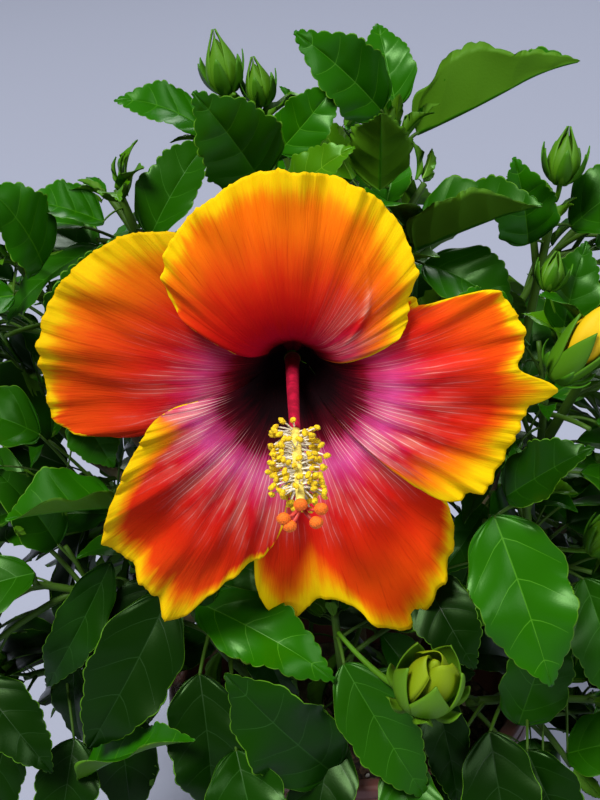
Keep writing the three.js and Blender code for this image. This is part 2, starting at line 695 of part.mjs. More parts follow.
// ---- pot and soil ----
function innerRadius(z) {
  return POT_FOOT_RADIUS - POT_WALL + ((POT_RIM_RADIUS - 4 - POT_FOOT_RADIUS) * z) / POT_HEIGHT;
}

function turned(profile) {
  return shaped(
    new THREE.LatheGeometry(profile.map(([r, z]) => new THREE.Vector2(r, z)), POT_SIDES),
    (point) => new THREE.Vector3(point.x, -point.z, point.y),
  );
}

function potSolid() {
  const bandFoot = POT_HEIGHT - POT_BAND;
  const wall = (z) => innerRadius(z) + POT_WALL;
  const shell = turned([
    [0, 0], [POT_FOOT_RADIUS - 1.5, 0], [wall(1.5), 1.5], [wall(bandFoot), bandFoot],
    [POT_RIM_RADIUS - 1, bandFoot + 0.8], [POT_RIM_RADIUS, bandFoot + 2],
    [POT_RIM_RADIUS, POT_HEIGHT - 1.8], [POT_RIM_RADIUS - 1.6, POT_HEIGHT],
    [innerRadius(POT_HEIGHT) + 1, POT_HEIGHT], [innerRadius(POT_HEIGHT), POT_HEIGHT - 1],
    [innerRadius(POT_WALL), POT_WALL], [0, POT_WALL],
  ]);
  const drains = [];
  for (let i = 0; i < DRAIN_HOLES; i += 1) {
    const angle = (i * 2 * Math.PI) / DRAIN_HOLES;
    drains.push(shaped(
      new THREE.CylinderGeometry(DRAIN_RADIUS, DRAIN_RADIUS, 3 * POT_WALL, DRAIN_SIDES),
      (point) => new THREE.Vector3(
        point.x + DRAIN_CIRCLE * Math.cos(angle), -point.z + DRAIN_CIRCLE * Math.sin(angle), point.y,
      ),
    ));
  }
  return shell.subtract(Manifold.union(drains));
}

function soilSolid() {
  const foot = POT_WALL + CLEARANCE;
  const edge = SOIL_LEVEL - SOIL_FALL;
  return turned([
    [0, foot], [innerRadius(foot) - CLEARANCE - 0.1, foot], [innerRadius(edge) - CLEARANCE - 0.1, edge],
    [(SOIL_CROWN_RADIUS + POT_FOOT_RADIUS) / 2, SOIL_LEVEL - 1.5], [SOIL_CROWN_RADIUS, SOIL_LEVEL],
    [0, SOIL_LEVEL],
  ]);
}

// ---- growth: one seeded rule for every shoot ----
function seeded(seed) {
  let state = seed >>> 0;
  return () => {
    state = (Math.imul(state, 1664525) + 1013904223) >>> 0;
    return state / 4294967296;
  };
}

function squareTo(direction, angle) {
  const helper = Math.abs(direction.z) > 0.9 ? WORLD_X : WORLD_UP;
  const side = direction.clone().cross(helper).normalize();
  const over = direction.clone().cross(side);
  return side.multiplyScalar(Math.cos(angle)).addScaledVector(over, Math.sin(angle));
}

// A leaf leaves its axis square to it, pulled outwards from the crown, and hangs a little.
function grownLeaf(axis, t, turn, size, random) {
  const foot = axis.curve.getPoint(t);
  const outward = foot.clone().sub(CROWN_CENTRE).normalize();
  const heading = squareTo(axis.curve.getTangent(t), turn)
    .multiplyScalar(0.9)
    .addScaledVector(outward, 0.7)
    .addScaledVector(WORLD_UP, 0.75 * random() - 0.5)
    .normalize();
  const reach = 10 + 12 * random();
  const base = foot.clone()
    .addScaledVector(heading, reach)
    .addScaledVector(axis.curve.getTangent(t), 0.4 * reach)
    .addScaledVector(WORLD_UP, 3);
  const length = size * (0.8 + 0.35 * random());
  const tip = base.clone()
    .addScaledVector(heading, length)
    .addScaledVector(WORLD_UP, -length * (0.05 + 0.3 * random()));
  const face = WORLD_UP.clone()
    .addScaledVector(outward, 0.2 + 0.7 * random())
    .add(new THREE.Vector3(0.5 * random() - 0.25, 0.5 * random() - 0.25, 0));
  const width = length * (0.48 + 0.12 * random());
  return { foot, base, tip, face, width, fold: 0.1 + 0.35 * random(), arch: 0.04 + 0.08 * random() };
}

function insideCrown(leaf) {
  const out = leaf.tip.clone().sub(CROWN_CENTRE).divide(CROWN_REACH);
  const reach = Math.hypot(out.x, out.y, out.z < 0 ? out.z / CROWN_DROOP : out.z);
  const middle = leaf.base.clone().lerp(leaf.tip, 0.5);
  return reach < 1
    && Math.min(leaf.tip.z, leaf.base.z) > CROWN_FLOOR
    && Math.min(leaf.tip.y, middle.y, leaf.base.y) > CROWN_FRONT;
}

// ---- the plan carried out ----
const BARK = { color: 0x5d5137, roughness: 0.85, metalness: 0 };
const FOLIAGE = { color: 0x1f5a0c, roughness: 0.42, metalness: 0 };
const PETAL = { color: 0xc22a12, roughness: 0.55, metalness: 0 };
const POLLEN = { color: 0xe8c222, roughness: 0.8, metalness: 0 };
const CALYX = { color: 0x6a8f22, roughness: 0.6, metalness: 0 };
const POT = { color: 0x5f3732, roughness: 0.5, metalness: 0 };
const SOIL = { color: 0x2a2019, roughness: 1, metalness: 0 };

const plant = new THREE.Group();
const limbs = new Map();
const limbSolids = [];

function clearOfLimbs(solid) {
  const reach = solid.boundingBox();
  return limbSolids.reduce((rest, { room, box }) => {
    const apart = [0, 1, 2].some((k) => reach.min[k] > box.max[k] || reach.max[k] < box.min[k]);
    return apart ? rest : rest.subtract(room);
  }, solid);
}

function addLimb(limb, sides, steps, finish) {
  plant.add(toMesh(limb.name, clearOfLimbs(limbSolid(limb, sides, steps)), finish));
  const room = limbSolid(limb, sides, steps, CLEARANCE);
  limbSolids.push({ room, box: room.boundingBox() });
  limbs.set(limb.name, limb);
}

plant.add(toMesh('pot', potSolid(), POT), toMesh('soil', soilSolid(), SOIL));

STEMS.forEach(([name, [x, y], tip, rootRadius, tipRadius]) => {
  const root = new THREE.Vector3(x, y, SOIL_LEVEL + CLEARANCE);
  const control = new THREE.Vector3(x, y, root.z + 0.45 * (tip[2] - root.z));
  addLimb(makeLimb(name, root, vec(tip), control, rootRadius, tipRadius, FLARE), 7, 7, BARK);
});

BOUGHS.forEach(([name, parentName, along, tip, arch]) => {
  const parent = limbs.get(parentName);
  const root = parent.curve.getPoint(along);
  const rootRadius = Math.min(0.8 * parent.radius(along), 3);
  const control = archedControl(root, vec(tip), arch);
  addLimb(makeLimb(name, root, vec(tip), control, rootRadius, BOUGH_TIP_RADIUS), 5, 4, BARK);
});

// shoots first, so that every leaf can keep clear of every stem
const rooms = [...limbs.values()].map((limb) => limbHull(limb, 5, LIMB_ROOM));
const potRoom = [0, POT_HEIGHT + 2].map((z) => {
  const ring = [];
  const radius = POT_RIM_RADIUS + 4;
  for (let k = 0; k < 12; k += 1) {
    const angle = (k * Math.PI) / 6;
    ring.push(new THREE.Vector3(radius * Math.cos(angle), radius * Math.sin(angle), z));
  }
  return ring;
});
rooms.push(prism(potRoom, new THREE.Vector3(0, 0, -1), new THREE.Vector3(0, 0, POT_HEIGHT + 3)));
PETALS.forEach((petal) => rooms.push(petalHull(petal)));
rooms.push(columnHull());

const shoots = SHOOTS.map(([name, carrierName, tip, arch, leafCount, twigCount], index) => {
  const carrier = limbs.get(carrierName);
  const root = carrier.curve.getPoint(1)
    .addScaledVector(carrier.curve.getTangent(1), CLEARANCE + 0.02);
  const control = root.clone().lerp(vec(tip), 0.4)
    .addScaledVector(carrier.curve.getTangent(1), 0.12 * root.distanceTo(vec(tip)))
    .add(new THREE.Vector3(0, 0, arch));
  const stem = makeLimb(name, root, vec(tip), control, carrier.radius(1), SHOOT_TIP_RADIUS);
  rooms.push(limbHull(stem, 5, LIMB_ROOM));
  return {
    name, carrier, stem, leafCount, twigCount, random: seeded(SEED_STEP * (index + 1)),
    axes: [stem], leaves: [], buds: [], feet: [],
  };
});
const shootNamed = new Map(shoots.map((shoot) => [shoot.name, shoot]));

// The nearest free place on a shoot's stem: no two stalks share one.
function footOn(shoot, point) {
  const free = [];
  for (let i = FOOT_FIRST; i <= FOOT_LAST; i += 1) {
    if (!shoot.feet.some((taken) => Math.abs(taken - i) < FEET_APART)) {
      free.push(i);
    }
  }
  const distance = (i) => shoot.stem.curve.getPoint(i / FOOT_PLACES).distanceTo(point);
  const best = free.reduce((a, b) => (distance(b) < distance(a) ? b : a));
  shoot.feet.push(best);
  return shoot.stem.curve.getPoint(best / FOOT_PLACES);
}

PLACED_LEAVES.forEach(([name, base, tip, width, face, fold, arch]) => {
  const shoot = shootNamed.get(name);
  const leaf = { base: vec(base), tip: vec(tip), width, face: vec(face), fold, arch };
  leaf.foot = footOn(shoot, leaf.base);
  const sheet = bladeSheet(leaf);
  if (!rooms.some((room) => touches(sheet, room))) {
    shoot.leaves.push(leaf);
    rooms.push(bladeHull(leaf));
  }
});

BUDS.forEach(([name, base, tip, radius]) => {
  const shoot = shootNamed.get(name);
  const bud = { base: vec(base), tip: vec(tip), radius };
  bud.foot = footOn(shoot, bud.base);
  shoot.buds.push(bud);
  rooms.push(budHull(bud));
});

shoots.forEach((shoot) => {
  const { random } = shoot;
  for (let i = 0; i < shoot.twigCount; i += 1) {
    const t = TWIG_START + (TWIG_SPREAD * (i + random())) / shoot.twigCount;
    const root = shoot.stem.curve.getPoint(t);
    const outward = root.clone().sub(CROWN_CENTRE).normalize();
    const heading = squareTo(shoot.stem.curve.getTangent(t), GOLDEN_ANGLE * (i + 1) + 6 * random())
      .addScaledVector(outward, 0.8)
      .addScaledVector(shoot.stem.curve.getTangent(t), 0.5)
      .normalize();
    const length = TWIG_LENGTH + TWIG_LENGTH_SPREAD * random();
    const tip = root.clone().addScaledVector(heading, length);
    const twig = makeLimb(
      'twig', root, tip, archedControl(root, tip, 1.5), TWIG_RADIUS * 1.3, TWIG_RADIUS,
    );
    const way = [0.3, 0.65, 1].map((u) => twig.curve.getPoint(u));
    const line = bounded({ triangles: [], edges: [[way[0], way[1]], [way[1], way[2]]] });
    if (!rooms.some((room) => touches(line, room)) && tip.y > CROWN_FRONT) {
      shoot.axes.push(twig);
      rooms.push(limbHull(twig, 2, LIMB_ROOM));
    }
  }
  shoot.axes.forEach((axis, order) => {
    const count = order === 0 ? shoot.leafCount : LEAVES_ON_TWIG;
    for (let i = 0; i < count; i += 1) {
      const t = 0.22 + (0.76 * (i + 0.5)) / count;
      const size = (order === 0 ? STEM_LEAF_LENGTH : TWIG_LEAF_LENGTH) * (1 - 0.25 * t);
      for (let trial = 0; trial < LEAF_TRIALS; trial += 1) {
        const turn = GOLDEN_ANGLE * i + TRIAL_TURN * trial + order;
        const leaf = grownLeaf(axis, t, turn, size * (1 - TRIAL_SHRINK * trial), random);
        const [sheet, stalk] = [bladeSheet(leaf), petioleSheet(leaf)];
        const blocked = rooms.some((room) => touches(sheet, room) || touches(stalk, room));
        if (!blocked && insideCrown(leaf)) {
          shoot.leaves.push(leaf);
          rooms.push(bladeHull(leaf));
          break;
        }
      }
    }
  });
});

shoots.forEach((shoot) => {
  const parts = [limbSolid(shoot.stem, 3, 4)];
  shoot.axes.slice(1).forEach((twig) => parts.push(limbSolid(twig, 3, 2)));
  shoot.leaves.forEach((leaf) => parts.push(leafSolid(leaf)));
  shoot.buds.forEach((bud) => {
    const knee = bud.foot.clone().lerp(bud.base, 0.5).add(new THREE.Vector3(0, 0, -2));
    const end = bud.base.clone().lerp(bud.tip, 0.2);
    parts.push(budSolid(bud), limbSolid(makeLimb('stalk', bud.foot, end, knee, 1, 1), 3, 2));
  });
  plant.add(toMesh(`foliage_${shoot.name}`, clearOfLimbs(Manifold.union(parts)), FOLIAGE));
});

PETALS.forEach((petal) => plant.add(toMesh(petal.name, petalSolid(petal), PETAL)));
plant.add(toMesh('staminal_column', columnSolid(), POLLEN));
const bloomBough = limbs.get('bough_bloom');
const stalkRoot = bloomBough.curve.getPoint(1)
  .addScaledVector(bloomBough.curve.getTangent(1), CLEARANCE + 0.02);
const stalkTip = new THREE.Vector3(THROAT.x, -CALYX_FACE + CALYX_LENGTH * 0.8, THROAT.z - 1);
const stalk = makeLimb(
  'stalk', stalkRoot, stalkTip, archedControl(stalkRoot, stalkTip, 2), BOUGH_TIP_RADIUS, 2.2,
);
plant.add(toMesh('calyx', clearOfLimbs(calyxSolid(stalk)), CALYX));

export default plant;
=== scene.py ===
"""The looks of a potted hibiscus shrub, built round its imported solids.

The plan and the growth rule are the source's own, repeated here in millimetres and
carried on to finer twigs, real leaf outlines, a veined bloom, buds, bark, soil and pot.
"""

import math

import bpy
import numpy as np
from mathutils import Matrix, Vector, noise


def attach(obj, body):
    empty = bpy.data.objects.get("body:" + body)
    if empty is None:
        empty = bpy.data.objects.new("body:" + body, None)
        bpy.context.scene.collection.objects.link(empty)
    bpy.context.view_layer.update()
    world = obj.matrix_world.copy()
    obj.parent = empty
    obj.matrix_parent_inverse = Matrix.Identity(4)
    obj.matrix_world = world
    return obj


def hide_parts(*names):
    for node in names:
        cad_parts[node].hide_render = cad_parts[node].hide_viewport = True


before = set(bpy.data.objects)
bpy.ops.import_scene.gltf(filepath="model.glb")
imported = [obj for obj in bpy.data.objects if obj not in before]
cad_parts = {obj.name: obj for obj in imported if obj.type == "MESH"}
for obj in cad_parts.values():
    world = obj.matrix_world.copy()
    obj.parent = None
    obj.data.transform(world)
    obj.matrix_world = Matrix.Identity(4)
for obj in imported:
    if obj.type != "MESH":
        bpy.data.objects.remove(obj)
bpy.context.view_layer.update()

# ---- sizes that the source also has ----
CLEARANCE = 0.3
POT_HEIGHT = 133
POT_RIM_RADIUS = 75
POT_FOOT_RADIUS = 52
POT_WALL = 2.4
POT_BAND = 15
DRAIN_RADIUS = 4.5
DRAIN_CIRCLE = 33
DRAIN_HOLES = 5
SOIL_LEVEL = 118
SOIL_CROWN_RADIUS = 34
SOIL_FALL = 5
FLARE = 0.75
BOUGH_TIP_RADIUS = 1.9
SHOOT_TIP_RADIUS = 1.4
TWIG_RADIUS = 1.2
PETIOLE_RADIUS = 0.85
LEAF_STATIONS = (0, 0.17, 0.47, 0.78, 1)
TWIG_STATIONS = (0.3, 0.65, 1.0)
PETIOLE_STATIONS = (0.25, 0.5, 0.75, 1.0)
LEAF_MARGIN_ROOM = 1.6
LEAF_FACE_ROOM = 1.7
LIMB_ROOM = 1.5
CROWN_CENTRE = np.array([-10.0, 12.0, 250.0])
CROWN_REACH = np.array([176.0, 144.0, 156.0])
CROWN_DROOP = 2.2
CROWN_FLOOR = 108
CROWN_FRONT = -66
GOLDEN_ANGLE = 2.39996
SEED_STEP = 7919
THROAT = np.array([-23.0, -90.0, 301.0])
PETAL_CLAW_RADIUS = 6
PETAL_CLAW_HALF = 29
PETAL_LAP_RADIUS = 18
STAMEN_LENGTH = 6.5
CALYX_FACE = 63.2
CALYX_LENGTH = 15
CALYX_RADIUS = 6.6

# ---- the plant's plan, as in the source ----
VIEWER = (0, -0.93, 0.37)
UP = (0, 0, 1)
UP_FRONT = (0, -0.6, 0.8)
UP_BACK = (0, 0.6, 0.8)
AWAY = (0, 0.9, 0.35)
STEMS = [
    ("stem_main", (2, 4), (0, 10, 238), 6.0, 3.4),
    ("stem_left", (-17, -3), (-56, -18, 204), 5.2, 2.8),
    ("stem_right", (19, -1), (54, -14, 208), 5.0, 2.8),
    ("stem_back", (4, 24), (2, 56, 206), 5.0, 2.8),
]

BOUGHS = [
    ("bough_top_centre", "stem_main", 0.94, (15, -16, 300), -6),
    ("bough_top_left", "stem_main", 0.8, (-32, -18, 325), -4),
    ("bough_bloom", "stem_main", 0.88, (-23, -36, 291), 2),
    ("bough_right_back", "stem_main", 0.68, (62, 32, 276), -8),
    ("bough_upper_left", "stem_left", 0.94, (-68, -30, 300), -10),
    ("bough_left_top", "stem_left", 0.8, (-98, -22, 278), 0),
    ("bough_left_side", "stem_left", 0.66, (-104, 6, 232), 6),
    ("bough_left_low", "stem_left", 0.5, (-72, -42, 186), 4),
    ("bough_low_left", "stem_left", 0.3, (-74, -30, 160), 6),
    ("bough_front_left", "stem_main", 0.24, (-40, -46, 164), 4),
    ("bough_front_low", "stem_main", 0.16, (-2, -50, 152), 4),
    ("bough_front_right", "stem_right", 0.2, (44, -46, 152), 4),
    ("bough_right_low", "stem_right", 0.55, (62, -42, 196), 4),
    ("bough_upper_right", "stem_right", 0.86, (62, -14, 278), -10),
    ("bough_right_side", "stem_right", 0.62, (100, 4, 206), 6),
    ("bough_back_top", "stem_back", 0.84, (-12, 46, 292), -8),
    ("bough_back_left", "stem_back", 0.66, (-76, 54, 224), 8),
    ("bough_back_right", "stem_back", 0.72, (72, 58, 226), 8),
    ("bough_back_low_left", "stem_back", 0.34, (-58, 56, 166), 6),
    ("bough_back_low_right", "stem_back", 0.42, (64, 50, 168), 6),
    ("bough_back_low", "stem_back", 0.24, (0, 76, 160), 6),
]

SHOOTS = [
    ("top_centre", "bough_top_centre", (14, 4, 366), -3, 5, 1),
    ("top_left", "bough_top_left", (-44, -14, 384), 3, 6, 1),
    ("centre", "stem_main", (-14, 12, 336), 0, 6, 1),
    ("right_back", "bough_right_back", (92, 34, 322), 8, 6, 2),
    ("upper_left", "bough_upper_left", (-86, -32, 356), 4, 5, 1),
    ("left_top", "bough_left_top", (-122, -38, 330), 6, 5, 1),
    ("left_mid", "stem_left", (-106, -60, 256), 0, 4, 1),
    ("left_side", "bough_left_side", (-140, 12, 262), 8, 7, 2),
    ("left_low", "bough_left_low", (-120, -54, 208), 8, 5, 1),
    ("low_left", "bough_low_left", (-128, -38, 158), 8, 6, 1),
    ("front_left", "bough_front_left", (-62, -62, 206), 3, 2, 0),
    ("front_low", "bough_front_low", (-8, -68, 204), 3, 2, 0),
    ("front_right", "bough_front_right", (92, -54, 158), 6, 5, 1),
    ("right_low", "bough_right_low", (58, -66, 252), 4, 3, 1),
    ("right_mid", "stem_right", (84, -46, 294), 6, 5, 1),
    ("upper_right", "bough_upper_right", (72, -16, 346), 4, 6, 1),
    ("right_side", "bough_right_side", (120, 8, 246), 8, 7, 2),
    ("back_top", "bough_back_top", (-30, 50, 354), 6, 7, 2),
    ("back_left", "bough_back_left", (-106, 72, 272), 10, 8, 2),
    ("back_mid", "stem_back", (6, 98, 286), 8, 7, 2),
    ("back_right", "bough_back_right", (92, 74, 272), 10, 8, 2),
    ("back_low_left", "bough_back_low_left", (-100, 82, 178), 8, 7, 2),
    ("back_low_right", "bough_back_low_right", (96, 72, 178), 8, 7, 2),
    ("back_low", "bough_back_low", (2, 108, 190), 8, 6, 2),
]

PLACED_LEAVES = [
    ("top_centre", (9, -4, 373), (-22, -22, 404), 25, (0.3, 0.8, 0.5), 0.5, 0.06),
    ("top_centre", (15, 11, 371), (8, 27, 400), 20, VIEWER, 0.25, 0.05),
    ("top_centre", (23, 1, 367), (76, -12, 392), 24, UP_BACK, 0.25, 0.04),
    ("top_centre", (8, -18, 348), (7, -38, 380), 24, AWAY, 0.3, 0.03),
    ("top_centre", (22, -34, 331), (64, -52, 350), 30, UP, 0.5, 0.06),
    ("top_centre", (24, -24, 322), (57, -38, 303), 26, UP_FRONT, 0.35, 0.14),
    ("top_left", (-34, -38, 356), (-54, -60, 390), 30, VIEWER, 0.2, 0.06),
    ("top_left", (-52, -16, 368), (-84, -24, 382), 20, UP_FRONT, 0.3, 0.08),
    ("top_left", (-28, -22, 362), (-8, -22, 386), 20, VIEWER, 0.3, 0.05),
    ("top_left", (-26, -30, 346), (-2, -38, 368), 20, UP_FRONT, 0.3, 0.08),
    ("upper_left", (-72, -46, 338), (-50, -36, 372), 24, UP_FRONT, 0.5, 0.05),
    ("upper_left", (-88, -40, 342), (-106, -38, 372), 22, VIEWER, 0.4, 0.05),
    ("left_top", (-108, -52, 330), (-122, -72, 364), 28, UP_FRONT, 0.25, 0.08),
    ("left_top", (-104, -58, 302), (-82, -62, 342), 24, VIEWER, 0.35, 0.05),
    ("left_top", (-117, -60, 322), (-156, -76, 316), 24, UP_FRONT, 0.3, 0.08),
    ("left_mid", (-84, -74, 252), (-126, -96, 248), 26, UP_BACK, 0.45, 0.1),
    ("left_mid", (-96, -67, 283), (-84, -78, 266), 18, VIEWER, 0.2, 0.06),
    ("left_mid", (-110, -68, 274), (-146, -80, 290), 24, UP_FRONT, 0.35, 0.08),
    ("left_low", (-68, -62, 208), (-99, -80, 152), 32, VIEWER, 0.15, 0.08),
    ("left_low", (-90, -52, 216), (-117, -56, 164), 20, VIEWER, 0.4, 0.1),
    ("left_low", (-116, -64, 218), (-160, -72, 200), 26, UP_FRONT, 0.25, 0.1),
    ("low_left", (-142, -60, 172), (-112, -78, 142), 24, UP_FRONT, 0.3, 0.08),
    ("low_left", (-98, -54, 132), (-66, -68, 153), 22, (0, -0.4, 0.9), 0.3, 0.05),
    ("low_left", (-132, -56, 146), (-142, -66, 108), 22, VIEWER, 0.25, 0.1),
    ("front_left", (-60, -70, 214), (-10, -94, 194), 24, (0.2, -0.75, 0.65), 0.2, 0.08),
    ("front_left", (-57, -74, 182), (-52, -90, 130), 30, VIEWER, 0.2, 0.08),
    ("front_left", (-44, -66, 212), (-14, -74, 212), 16, UP_FRONT, 0.2, 0.1),
    ("front_low", (-5, -80, 190), (25, -98, 144), 26, VIEWER, 0.25, 0.06),
    ("front_low", (-8, -70, 164), (-50, -94, 184), 30, VIEWER, 0.15, 0.06),
    ("front_low", (-16, -64, 156), (-8, -84, 136), 16, VIEWER, 0.2, 0.05),
    ("front_right", (28, -70, 176), (38, -86, 132), 18, VIEWER, 0.25, 0.08),
    ("front_right", (62, -62, 152), (75, -58, 200), 27, VIEWER, 0.3, 0.05),
    ("front_right", (80, -66, 142), (114, -78, 158), 26, UP_FRONT, 0.25, 0.08),
    ("front_right", (72, -66, 138), (52, -84, 118), 24, VIEWER, 0.2, 0.06),
    ("right_low", (50, -80, 256), (76, -92, 280), 24, UP_FRONT, 0.5, 0.05),
    ("right_low", (46, -82, 250), (66, -106, 196), 35, VIEWER, 0.16, 0.05),
    ("right_low", (82, -64, 216), (96, -80, 172), 26, VIEWER, 0.25, 0.08),
    ("right_low", (24, -62, 216), (42, -84, 190), 24, VIEWER, 0.2, 0.08),
    ("right_mid", (72, -44, 302), (80, -36, 334), 20, VIEWER, 0.3, 0.05),
    ("right_mid", (92, -50, 284), (132, -62, 272), 27, UP_FRONT, 0.25, 0.12),
    ("upper_right", (62, -20, 328), (54, -32, 362), 24, VIEWER, 0.3, 0.05),
    ("upper_right", (78, -12, 332), (110, -16, 356), 26, UP_FRONT, 0.25, 0.08),
]

BUDS = [
    ("top_left", (-50, -10, 386), (-52, -10, 408), 5.4),
    ("top_left", (-40, -10, 384), (-35, -8, 399), 4.2),
    ("upper_right", (72, -20, 350), (74, -20, 371), 5.8),
    ("right_mid", (80, -58, 292), (91, -62, 324), 6.6),
    ("right_mid", (66, -44, 304), (70, -42, 316), 3.8),
    ("right_low", (84, -64, 226), (96, -68, 246), 5.6),
    ("left_top", (-126, -46, 338), (-134, -48, 350), 3.6),
    ("front_low", (11, -88, 192), (27, -114, 203), 11),
]

PETALS = [
    (
      "petal_top",
      88,
      1,
      [
        (22, 20), (25, 35), (31, 43), (40, 48), (45, 56), (56, 63), (68, 69), (81, 71), (93, 73),
        (104, 70), (119, 66), (129, 62), (138, 55), (146, 42), (150, 20),
      ],
    ),
    (
      "petal_left",
      160,
      -1,
      [
        (118, 26), (121, 48), (126, 63), (136, 71), (147, 77), (157, 82), (167, 84), (177, 84),
        (184, 82), (191, 78), (198, 66), (201, 52), (199, 36), (196, 20),
      ],
    ),
    (
      "petal_low_left",
      232,
      1,
      [
        (188, 20), (189, 38), (194, 47), (203, 56), (212, 69), (217, 78), (224, 86), (233, 88),
        (239, 91), (246, 93), (251, 78), (257, 67), (262, 60), (267, 48), (269, 26),
      ],
    ),
    (
      "petal_low_right",
      304,
      -1.4,
      [
        (252, 26), (255, 46), (258, 63), (261, 79), (268, 87), (276, 83), (283, 85), (290, 98),
        (296, 99), (303, 95), (309, 90), (314, 81), (320, 68), (327, 50), (334, 26),
      ],
    ),
    (
      "petal_right",
      16,
      0,
      [
        (-43, 22), (-42, 40), (-42, 56), (-38, 68), (-30, 75), (-16, 77), (-6, 79), (0, 83),
        (5, 78), (16, 77), (26, 73), (33, 64), (38, 52), (44, 38), (48, 22),
      ],
    ),
]

WORLD_UP = np.array([0.0, 0.0, 1.0])
WORLD_X = np.array([1.0, 0.0, 0.0])


def vec(values):
    return np.array(values, dtype=float)


def unit(v):
    return v / np.linalg.norm(v)


def smoothstep(x, low, high):
    t = np.clip((np.asarray(x, dtype=float) - low) / (high - low), 0, 1)
    return t * t * (3 - 2 * t)


# ---- camera: at the photograph's viewing angle ----
CAMERA_AT = (-0.0204, -0.57397, 0.49125)
CAMERA_ELEVATION = 22
CAMERA_LENS = 71.73
camera = bpy.data.objects.new("camera", bpy.data.cameras.new("camera"))
camera.location = CAMERA_AT
camera.rotation_euler = (math.radians(90 - CAMERA_ELEVATION), 0, 0)
camera.data.lens = CAMERA_LENS
camera.data.clip_start = 0.02
bpy.context.scene.collection.objects.link(camera)
bpy.context.scene.camera = camera


# ---- limbs: an arched curve with a radius at each end ----
class Limb:
    def __init__(self, name, root, tip, control, root_radius, tip_radius, flare=0.0):
        self.name = name
        self.points = (vec(root), vec(control), vec(tip))
        self.radii = (root_radius, tip_radius)
        self.flare = flare
        chord = unit(self.points[2] - self.points[0])
        helper = WORLD_X if abs(chord[2]) > 0.9 else WORLD_UP
        self.reference = unit(np.cross(chord, helper))

    def point(self, t):
        t = np.asarray(t, dtype=float)[..., None]
        a, b, c = self.points
        return (1 - t) ** 2 * a + 2 * (1 - t) * t * b + t * t * c

    def tangent(self, t):
        t = np.asarray(t, dtype=float)
        ahead = self.point(np.clip(t + 1e-4, 0, 1))
        behind = self.point(np.clip(t - 1e-4, 0, 1))
        step = ahead - behind
        return step / np.linalg.norm(step, axis=-1, keepdims=True)

    def radius(self, t):
        t = np.asarray(t, dtype=float)
        a, b = self.radii
        return (a + (b - a) * t) * (1 + self.flare * np.exp(-20 * t))

    def frame(self, t):
        tangent = self.tangent(t)
        across = np.cross(tangent, self.reference)
        across /= np.linalg.norm(across, axis=-1, keepdims=True)
        return across, np.cross(tangent, across)

    def around(self, t, angle, radius):
        across, over = self.frame(t)
        return (self.point(t) + across * np.cos(angle) * radius
                + over * np.sin(angle) * radius)


def arched_control(root, tip, arch):
    return (root + tip) / 2 + vec((0, 0, 2 * arch))


# ---- room between leaves: closed hulls, and the thin sheets tested against them ----
class Shape:
    def __init__(self, triangles, edges):
        self.triangles = np.array(triangles, dtype=float).reshape(-1, 3, 3)
        self.edges = np.array(edges, dtype=float).reshape(-1, 2, 3)
        self.low = self.edges.reshape(-1, 3).min(axis=0)
        self.high = self.edges.reshape(-1, 3).max(axis=0)


def prism(rings, start, end):
    triangles, edges = [], []
    sides = len(rings[0])
    for i, ring in enumerate(rings):
        for k in range(sides):
            a, b = ring[k], ring[(k + 1) % sides]
            edges.append((a, b))
            if i == 0:
                triangles.append((start, a, b))
                edges.append((start, a))
            if i == len(rings) - 1:
                triangles.append((end, a, b))
                edges.append((end, a))
            else:
                c, d = rings[i + 1][k], rings[i + 1][(k + 1) % sides]
                triangles += [(a, b, c), (b, d, c)]
                edges += [(a, c), (b, c)]
    return Shape(triangles, edges)


def limb_hull(limb, steps, room):
    turns = np.arange(5) * 2 * math.pi / 5
    rings = []
    for i in range(steps + 1):
        t = i / steps
        rings.append([limb.around(t, a, (limb.radius(t) + room) * 1.15) for a in turns])
    start = limb.point(0) - limb.tangent(0) * room
    end = limb.point(1) + limb.tangent(1) * room
    return prism(rings, start, end)


def any_cross(edges, triangles):
    if not len(edges) or not len(triangles):
        return False
    p, d = edges[:, None, 0], (edges[:, 1] - edges[:, 0])[:, None]
    a = triangles[None, :, 0]
    e1 = triangles[None, :, 1] - a
    e2 = triangles[None, :, 2] - a
    h = np.cross(d, e2)
    det = (e1 * h).sum(-1)
    flat = np.abs(det) < 1e-9
    det = np.where(flat, 1, det)
    s = p - a
    u = (s * h).sum(-1) / det
    q = np.cross(s, e1)
    v = (d * q).sum(-1) / det
    t = (e2 * q).sum(-1) / det
    hit = (u >= 0) & (v >= 0) & (u + v <= 1) & (t >= 0) & (t <= 1) & ~flat
    return bool(hit.any())


class Rooms:
    """The hulls that are taken, with their boxes in arrays, so that one test finds the near ones."""

    def __init__(self):
        self.shapes = []
        self.low = np.zeros((4096, 3))
        self.high = np.zeros((4096, 3))

    def add(self, shape):
        self.low[len(self.shapes)] = shape.low
        self.high[len(self.shapes)] = shape.high
        self.shapes.append(shape)

    def blocks(self, sheet):
        n = len(self.shapes)
        near = ((sheet.low <= self.high[:n]) & (sheet.high >= self.low[:n])).all(axis=1)
        for i in np.flatnonzero(near):
            hull = self.shapes[i]
            if (any_cross(sheet.edges, hull.triangles)
                    or any_cross(hull.edges, sheet.triangles)):
                return True
        return False


